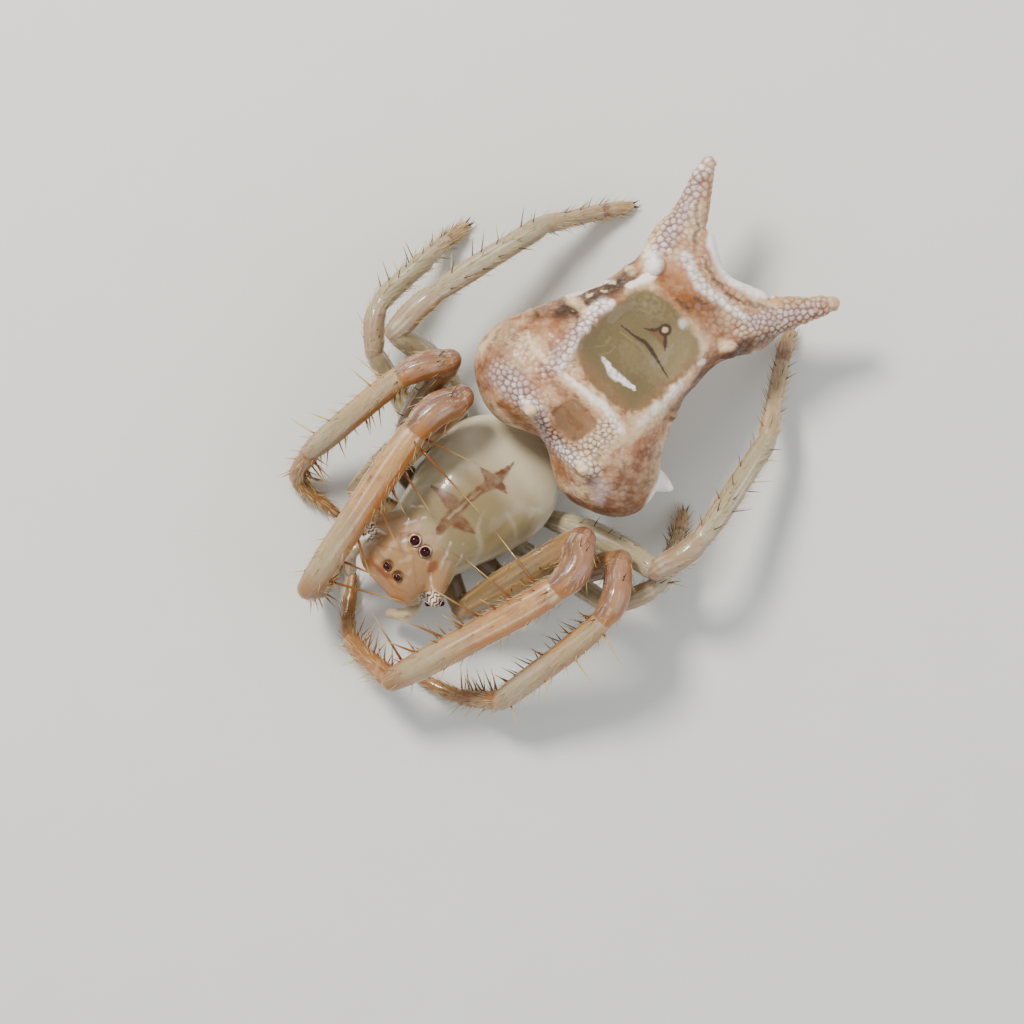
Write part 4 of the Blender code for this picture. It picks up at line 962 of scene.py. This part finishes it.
def makeMouth():
    made = []
    for node, colour in (("chelicera", tone(196, 156, 112)), ("palp", tone(206, 190, 158))):
        for word in ("left", "right"):
            skin = oneSkin([cadCopy(f"{node}_{word}")], f"{node}_{word}_skin", 0.022, 5)
            co = corners(skin.data)
            tint = np.tile(np.array(colour), (len(co), 1))
            tint = blend(tint, tone(150, 84, 44), 0.7 * eased(0.5, 0.25, co[:, 2]) * (node == "chelicera"))
            tint = blend(tint, tone(150, 108, 66), 0.5 * eased(0.1, 0.5, cloud(co, 9, 7)))
            setTint(skin.data, blend(tint, tone(226, 214, 190), 0.5 * eased(0.0, 0.5, cloud(co, 6, 4))))
            made.append((skin, f"{node}_{word}"))
    return made


# Eyes

eyeLook = {
    "bulge": 0.06, "lens": {"rear_middle": 1.12, "front_middle": 0.95, "front_side": 0.92, "rear_side": 0.92},
    "gaze": {"rear_middle": (0.22, -0.12, 1.0), "front_middle": (0.25, -0.75, 0.75),
             "front_side": (0.1, -1.0, 0.15), "rear_side": (1.0, 0.4, 0.25)},
    "ring": {   # how far out, how thick, how far up along the gaze, in the eye's own radius
        "rear_middle": (1.20, 0.15, 0.04), "front_middle": (1.00, 0.05, 0.02),
        "front_side": (1.12, 0.20, 0.10), "rear_side": (1.12, 0.20, 0.10)},
}


def eyePlaces():
    places = {}
    for name in sorted(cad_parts):
        if name.startswith("eye_"):
            low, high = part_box(name)
            middle = (low + high) / 2 * 1000 + Vector((*stance["middle"], 0))
            places[name] = (middle, (high.x - low.x) * 500)
    return places


def kindOf(name):
    return name[4:].rsplit("_", 1)[0]


def gazeOf(name):
    across, along, up = eyeLook["gaze"][kindOf(name)]
    return Vector((across * (1 if name.endswith("left") else -1), along, up)).normalized()


def makeEyes():
    made = []
    for name, (middle, radius) in eyePlaces().items():
        bpy.ops.mesh.primitive_uv_sphere_add(segments=40, ring_count=24, location=middle,
                                             radius=radius * eyeLook["lens"][kindOf(name)])
        eye = bpy.context.view_layer.objects.active
        pick(eye)
        bpy.ops.object.transform_apply(location=True, rotation=True, scale=True)
        eye.name = name + "_lens"
        eye.data.name = eye.name
        co = corners(eye.data)
        offset = co - np.array(middle)
        facing = np.clip(offset @ np.array(gazeOf(name)) / radius, 0, 1)
        co += offset * (eyeLook["bulge"] * eased(0.55, 1.0, facing))[:, None]   # the clear lens stands proud
        setCorners(eye.data, co)
        made.append((eye, name))
    return made


def makeEyeRings():
    rings = []
    for name, (middle, radius) in eyePlaces().items():
        out = gazeOf(name)
        wide, thick, up = eyeLook["ring"][kindOf(name)]
        bpy.ops.mesh.primitive_torus_add(location=(0, 0, 0), major_radius=radius * wide,
                                         minor_radius=radius * thick, major_segments=40, minor_segments=12)
        ring = bpy.context.view_layer.objects.active
        co = corners(ring.data)
        along = co * (1, 1, 0) / np.hypot(co[:, 0], co[:, 1])[:, None] * radius * wide
        uneven = (0.75 + 1.8 * cloud(along + np.array(middle), 12.0, 6)).clip(0.15, 1.6)
        co = along + (co - along) * uneven[:, None] * (1, 1, 0.62)   # a low collar, broken in places
        setCorners(ring.data, co)
        turned = out.to_track_quat("Z", "Y").to_matrix().to_4x4()
        ring.data.transform(Matrix.Translation(middle + out * radius * up) @ turned)
        rings.append(ring)
    return joined(rings, "eye_rings")


# Spines and hairs: one is shaped, then copied to every root

def spikeShape(sides, rings, bend):
    bpy.ops.mesh.primitive_cone_add(vertices=sides, radius1=1.0, radius2=0.0, depth=1.0, location=(0, 0, 0.5),
                                    end_fill_type="TRIFAN")
    spike = bpy.context.view_layer.objects.active
    pick(spike)
    bpy.ops.object.transform_apply(location=True, rotation=True, scale=True)
    bm = bmesh.new()
    bm.from_mesh(spike.data)
    for ring in range(1, rings):
        everything = bm.verts[:] + bm.edges[:] + bm.faces[:]
        bmesh.ops.bisect_plane(bm, geom=everything, plane_co=(0, 0, ring / rings), plane_no=(0, 0, 1))
    bmesh.ops.triangulate(bm, faces=bm.faces[:])
    for vert in bm.verts:   # fuller than a cone, drawn out to a point
        height = min(vert.co.z, 0.999)
        full = (1 - height ** 1.8) / (1 - height)
        vert.co.x = vert.co.x * full
        vert.co.y = vert.co.y * full
    co = np.array([v.co[:] for v in bm.verts])
    faces = np.array([[v.index for v in f.verts] for f in bm.faces])
    bm.free()
    bpy.data.objects.remove(spike, do_unlink=True)
    return co, faces, bend


def spikeField(name, shape, roots):
    # roots: place, way, length, radius, colours at the root, the middle and the tip, patch of the unwrap
    template, faces, bend = shape
    share = template[:, 2]
    allCo, allFaces, allTint, allPatch = [], [], [], []
    for count, (root, way, length, radius, (rootTint, midTint, tipTint), patch) in enumerate(roots):
        way = way.normalized()
        across = way.orthogonal().normalized()
        droop = Vector((0, 0, -1)) - way * -way.z
        side = way.cross(across)
        co = (np.outer(template[:, 0] * radius, across) + np.outer(template[:, 1] * radius, side)
              + np.outer(share * length, way) + np.outer(share ** 2 * bend * length, droop))
        allCo.append(co + np.array(root))
        allFaces.append(faces + count * len(template))
        tint = np.array(rootTint) + np.outer(eased(0.04, 0.20, share), np.array(midTint) - np.array(rootTint))
        allTint.append(blend(tint, tipTint, eased(0.35, 0.95, share)))
        allPatch.append(np.array(patch) + spineLook["patch"] * template[:, :2])
    co, faces = np.vstack(allCo), np.vstack(allFaces)
    mesh = bpy.data.meshes.new(name)
    mesh.from_pydata(co.tolist(), [], faces.tolist())
    mesh.update()
    piece = linked(name, mesh)
    setTint(mesh, np.vstack(allTint))
    patches = np.vstack(allPatch)
    layer = mesh.uv_layers.new(name="OFBake")
    index = np.zeros(len(mesh.loops), dtype=int)
    mesh.loops.foreach_get("vertex_index", index)
    layer.data.foreach_set("uv", patches[index].astype(np.float32).ravel())
    return piece


def patchOf(name, limb, step, turn):
    # a root's place on the legs laid flat: one strip for each leg, its limbs end to end
    strip = list(legPoses).index(name)
    order = ("hip", "thigh", "shank", "foot").index(limb)
    around = (turn / math.tau + 0.5) % 1
    return ((order + step / 2) / 4 * 0.94 + 0.03, (strip + 0.1 + 0.8 * around) / 8)


catching = {   # inner spines of the front shins: how far along, way from root to tip
    "leg_1_left": (
        (0.1, (-1.17, 0.1, -0.3)), (0.25, (-1.06, -0.14, -0.2)), (0.43, (-1.05, -0.33, -0.14)),
        (0.62, (-0.98, -0.46, -0.08)), (0.77, (-0.63, -0.32, -0.08)), (0.34, (-0.34, -0.1, 0.1)),
        (0.53, (-0.4, -0.12, 0.06)), (0.9, (-0.97, 0.17, -0.1)),
    ),
    "leg_1_right": (
        (0.06, (1.71, 0.02, -0.1)), (0.02, (0.94, 0.38, -0.2)), (0.22, (0.99, -0.17, -0.26)),
        (0.33, (0.52, -0.13, -0.1)), (0.43, (0.88, -0.3, -0.12)), (0.61, (0.88, -0.39, -0.08)),
        (0.8, (0.68, 0.3, -0.1)), (0.93, (1.23, 0.78, -0.12)),
    ),
}
spineRows = (   # legs, limb, from, to, count, turn, length, lean, radius
    (("leg_1_left",), "shank", 1.42, 1.85, 5, 120, 0.52, 0.3, 0.017),
    (("leg_1",), "shank", 1.15, 1.9, 7, 62, 0.2, 0.6, 0.011),
    (("leg_1",), "shank", 1.1, 1.9, 8, 95, 0.16, 0.7, 0.011),
    (("leg_2_left",), "shank", 1.12, 1.88, 8, 122, 0.46, 0.4, 0.015),
    (("leg_2",), "shank", 1.1, 1.9, 8, 80, 0.34, 0.6, 0.013),
    (("leg_2",), "shank", 1.06, 1.92, 8, 100, 0.22, 0.5, 0.011),
    (("leg_1",), "shank", 1.22, 1.88, 6, -85, 0.26, 0.9, 0.011),
    (("leg_2",), "shank", 1.08, 1.9, 4, -80, 0.56, 0.15, 0.018),
    (("leg_2",), "shank", 1.12, 1.85, 7, -60, 0.24, 0.6, 0.010),
    (("leg_1", "leg_2"), "foot", 0.12, 0.92, 8, 82, 0.44, 0.55, 0.016),
    (("leg_1", "leg_2"), "foot", 0.2, 0.9, 7, 110, 0.34, 0.6, 0.013),
    (("leg_1", "leg_2"), "foot", 0.25, 0.85, 5, -80, 0.3, 0.7, 0.012),
    (("leg_1", "leg_2"), "shank", 0.36, 0.44, 2, -12, 0.24, -0.3, 0.010),
    (("leg_1", "leg_2"), "shank", 1.04, 1.06, 1, 20, 0.28, 0.4, 0.012),
    (("leg_3", "leg_4"), "shank", 1.2, 1.85, 5, -70, 0.34, 0.5, 0.011),
    (("leg_3", "leg_4"), "shank", 1.15, 1.9, 6, -30, 0.26, 0.5, 0.010),
    (("leg_4",), "shank", 1.1, 1.75, 5, 35, 0.3, 0.5, 0.011),
    (("leg_3", "leg_4"), "foot", 0.15, 0.9, 6, -60, 0.24, 0.8, 0.009),
    (("leg_3", "leg_4"), "foot", 0.15, 0.9, 6, 60, 0.2, 0.8, 0.009),
    (("leg_1", "leg_4"), "thigh", 0.6, 1.3, 4, -25, 0.24, 0.5, 0.010),
    (("leg_2", "leg_3"), "thigh", 0.6, 1.3, 3, -40, 0.2, 0.5, 0.010),
)
spineLook = {
    "socket": tone(158, 44, 8), "body": tone(136, 92, 34), "straw": tone(206, 190, 122),
    "tip": tone(210, 186, 120), "bristle": tone(84, 66, 36), "hair": tone(222, 200, 150),
    "hairDark": tone(140, 108, 66), "hairsPerStep": 130, "hairLength": (0.10, 0.30), "hairRadius": 0.0052,
    "catchRadius": 0.024, "socketRadius": 1.7, "patch": 0.0015,
    "claw": tone(60, 30, 14), "dot": tone(112, 58, 18),
}


def surfaceRoot(points, girth, step, turn):
    centre, way, up, inner = crossways(points, step)
    out = up * math.cos(turn) + inner * math.sin(turn)
    return centre + out * stations(girth, step), out, way


def spineRoots(name):
    # the spines of a leg, and the small raised socket round each one
    roots, sockets, look = [], [], spineLook
    limbs = limbsOf(name)
    draw = random.Random(sum(ord(c) for c in name) * 3)
    front = int(name[4]) < 3

    def add(skin, aim, length, radius, tones, patch):
        roots.append((skin - aim * 0.05, aim, length + 0.05, radius, tones, patch))
        if front or radius > 0.0105:
            wide = radius * look["socketRadius"]
            base = look["socket"] if radius > 0.014 else look["dot"]
            sockets.append((skin - aim * 0.03, aim, 0.03 + wide * 0.9, wide, (base,) * 3, patch))

    for legs, limb, start, end, count, turn, length, lean, radius in spineRows:
        if not name.startswith(legs):
            continue
        points, girth = limbs[limb]
        gap = (end - start) / max(1, count - 1)
        for i in range(count):
            step = start + gap * (i + draw.uniform(-0.4, 0.4))
            around = math.radians(turn + draw.uniform(-18, 18))
            skin, out, way = surfaceRoot(points, girth, step, around)
            aim = (out + way * (lean + draw.uniform(-0.3, 0.3))).normalized()
            dark = limb == "thigh" or turn == -12 or (not front and draw.random() < 0.65)
            if dark:
                tones = (look["bristle"], look["bristle"], look["bristle"])
            elif turn < 0:
                tones = (look["body"], look["straw"], look["straw"])
            else:
                tones = (look["socket"], look["body"], look["tip"])
            patch = patchOf(name, limb, step, around)
            add(skin, aim, length * draw.uniform(0.6, 1.2), radius, tones, patch)
    points, girth = limbs["shank"]
    for along, reach in catching.get(name, ()):
        centre = onCurve(points, 1 + along)
        aim = Vector(reach).normalized()
        patch = patchOf(name, "shank", 1 + along, 1.4)
        add(centre + aim * stations(girth, 1 + along), aim, Vector(reach).length, look["catchRadius"],
            (look["socket"], look["body"], look["tip"]), patch)
    return roots, sockets


def clawRoots(name):
    # two curved claws at the end of each foot
    points, girth = limbsOf(name)["foot"]
    roots = []
    for turn in (-28, 28):
        centre, ahead, up, inner = crossways(points, 1.98)
        level = Vector((ahead.x, ahead.y, 0)).normalized()
        across = inner * math.sin(math.radians(turn))
        start = centre + across * 0.05 + level * 0.02 + Vector((0, 0, 0.035))
        aim = (level + across * 0.5 + Vector((0, 0, 0.35))).normalized()
        tones = (spineLook["socket"], spineLook["claw"], spineLook["claw"])
        roots.append((start, aim, 0.16, 0.018, tones, patchOf(name, "foot", 1.98, math.radians(turn))))
    return roots


def hairRoots(name):
    roots, look = [], spineLook
    draw = random.Random(sum(ord(c) for c in name))
    for limb, (points, girth) in limbsOf(name).items():
        if limb == "hip":
            continue
        last = len(points) - 1
        dense = {"thigh": 0.4, "shank": 0.9, "foot": 0.9}[limb]
        for i in range(int(look["hairsPerStep"] * last * dense)):
            step = draw.uniform(0.04, last - 0.03)
            turn = draw.uniform(-math.pi, math.pi)
            bare = limb == "shank" and step < 0.9 and draw.random() < 0.7   # kneecaps are nearly bare
            skin, out, way = surfaceRoot(points, girth, step, turn)
            aim = (out * draw.uniform(0.30, 0.9) + way).normalized()
            length = draw.uniform(*look["hairLength"]) * (0.7 if limb == "thigh" else 1.0)
            shade = look["hairDark"] if draw.random() < 0.2 else look["hair"]
            if bare or skin.z + aim.z * length < 0.02:
                continue
            roots.append((skin - aim * 0.02, aim, length, look["hairRadius"], (shade,) * 3,
                          patchOf(name, limb, step, turn)))
    return roots


# Making everything

print("chest and head")
shieldSkin = makeShield()
print("legs")
legSkins = makeLegs()
print("abdomen")
humpSkin = makeHump()
print("jaws, feelers and eyes")
mouthParts = makeMouth()
eyeParts = makeEyes()
eyeRings = makeEyeRings()

print("materials")
shieldShell = shellMaterial("clearShell", {
    "glow": 0.30, "glowRadius": (1.0, 0.9, 0.7), "glowDepth": 0.00012, "coat": 0.45, "roughness": 0.22,
    "shine": 0.4, "grain": 2600.0, "fleck": 5200.0, "grainDepth": 0.22, "shade": tone(214, 206, 186),
    "fleckDepth": 0.15, "light": tone(120, 118, 112), "relief": 0.35, "reliefHeight": 0.000012,
})
legShell = shellMaterial("glassyLeg", {
    "glow": 0.25, "glowRadius": (1.0, 0.85, 0.6), "glowDepth": 0.00006, "coat": 0.60, "roughness": 0.20,
    "shine": 0.4, "grain": 9000.0, "fleck": 14000.0, "grainDepth": 0.40, "shade": tone(200, 176, 144),
    "fleckDepth": 0.30, "light": tone(130, 126, 118), "relief": 0.5, "reliefHeight": 0.000010,
})
beadShell = shellMaterial("beadedCream", {
    "glow": 0.10, "glowRadius": (1.0, 0.9, 0.8), "glowDepth": 0.00003, "coat": 0.60, "roughness": 0.34,
    "shine": 0.3, "grain": 14000.0, "fleck": 26000.0, "grainDepth": 0.40, "shade": tone(200, 170, 138),
    "fleckDepth": 0.30, "light": tone(140, 136, 130), "relief": 0.5, "reliefHeight": 0.000008,
})
spineShell = shellMaterial("spineHorn", {
    "glow": 0.1, "glowRadius": (1.0, 0.8, 0.5), "glowDepth": 0.00002, "coat": 0.3, "roughness": 0.28,
    "shine": 0.3, "grain": 20000.0, "fleck": 30000.0, "grainDepth": 0.25, "shade": tone(190, 160, 120),
    "fleckDepth": 0.15, "light": tone(120, 112, 100), "relief": 0.2, "reliefHeight": 0.000004,
})


finished(shieldSkin, shieldShell, ("carapace", "sternum"))
for skin in legSkins:
    name = skin.name[:-5]
    finished(skin, legShell, (f"{name}_femur", f"{name}_tibia", f"{name}_foot"))
finished(humpSkin, beadShell,
         ("abdomen", "tail_horn_left", "tail_horn_right", "spinnerets"))
for skin, node in mouthParts:
    finished(skin, legShell, (node,))
lens = mottledMaterial("darkLens", {"Roughness": 0.06, "IOR": 1.45, "Specular IOR Level": 0.35},
                       9000.0, 2.0, tone(14, 2, 2), tone(78, 4, 10))
for eye, node in eyeParts:
    finished(eye, lens, (node,))
paleRing = mottledMaterial("paleRing", {"Roughness": 0.3, "Coat Weight": 0.5},
                           24000.0, 3.0, tone(244, 222, 210), tone(176, 120, 98))
finished(eyeRings, paleRing)

print("spines and hairs")
thickSpike = spikeShape(7, 5, 0.05)
thinSpike = spikeShape(3, 3, 0.15)
budShape = spikeShape(8, 3, 0.0)
clawShape = spikeShape(6, 5, 0.55)
hairs = []
for name in legPoses:
    roots, sockets = spineRoots(name)
    finished(spikeField(f"{name}_spines", thickSpike, roots), spineShell)
    finished(spikeField(f"{name}_sockets", budShape, sockets), spineShell)
    finished(spikeField(f"{name}_claws", clawShape, clawRoots(name)), spineShell)
    hairs += hairRoots(name)
finished(spikeField("leg_hairs", thinSpike, hairs), spineShell)

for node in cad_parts.values():   # solids that still show get their finish too
    if not node.hide_render:
        node.data.materials.clear()
        node.data.materials.append(legShell)

# Floor, light and camera

print("floor, light and camera")
studio = {
    "floor": 0.6, "distance": 0.0868, "lens": 180.0, "lift": 0.0015,
    "key": 0.072, "keySize": 0.018, "fill": 0.016, "fillSize": 0.06, "sky": 0.78,
}


def makeFloor():
    bpy.ops.mesh.primitive_plane_add(size=studio["floor"], location=(0, 0, -0.00001))
    floor = bpy.context.view_layer.objects.active
    floor.name = "floor"
    floor.data.materials.append(mottledMaterial(
        "paleFloor", {"Roughness": 0.7}, 900.0, 3.0, tone(226, 226, 220), tone(214, 214, 208), depth=0.3))


def makeLamp(name, place, size, power, colour):
    lamp = bpy.data.lights.new(name, "AREA")
    lamp.shape = "DISK"
    lamp.size = size
    lamp.energy = power
    lamp.color = colour
    piece = linked(name, lamp)
    piece.location = place
    piece.rotation_euler = (-Vector(place)).to_track_quat("-Z", "Y").to_euler()


makeFloor()
makeLamp("key", (-0.045, 0.004, 0.058), studio["keySize"], studio["key"], (1.0, 0.96, 0.90))
makeLamp("fill", (0.050, 0.030, 0.040), studio["fillSize"], studio["fill"], (0.92, 0.96, 1.0))
world = bpy.data.worlds.new("softSky")
world.use_nodes = True
world.node_tree.nodes["Background"].inputs["Color"].default_value = (0.92, 0.95, 1.0, 1)
world.node_tree.nodes["Background"].inputs["Strength"].default_value = studio["sky"]
bpy.context.scene.world = world

camera = bpy.data.cameras.new("camera")
camera.lens = studio["lens"]
camera.sensor_width = 36.0
camera.clip_start = 0.001
camera.clip_end = 10.0
cameraPiece = linked("camera", camera)
aside = [shown - stood for shown, stood in zip(photo["middle"], stance["middle"])]
middle = Vector((*aside, 0)) * stance["millimetre"]
cameraPiece.location = middle + Vector((0, 0, studio["distance"] + studio["lift"]))
cameraPiece.rotation_euler = (0, 0, math.atan2(photo["right"][1], photo["right"][0]))
bpy.context.scene.camera = cameraPiece
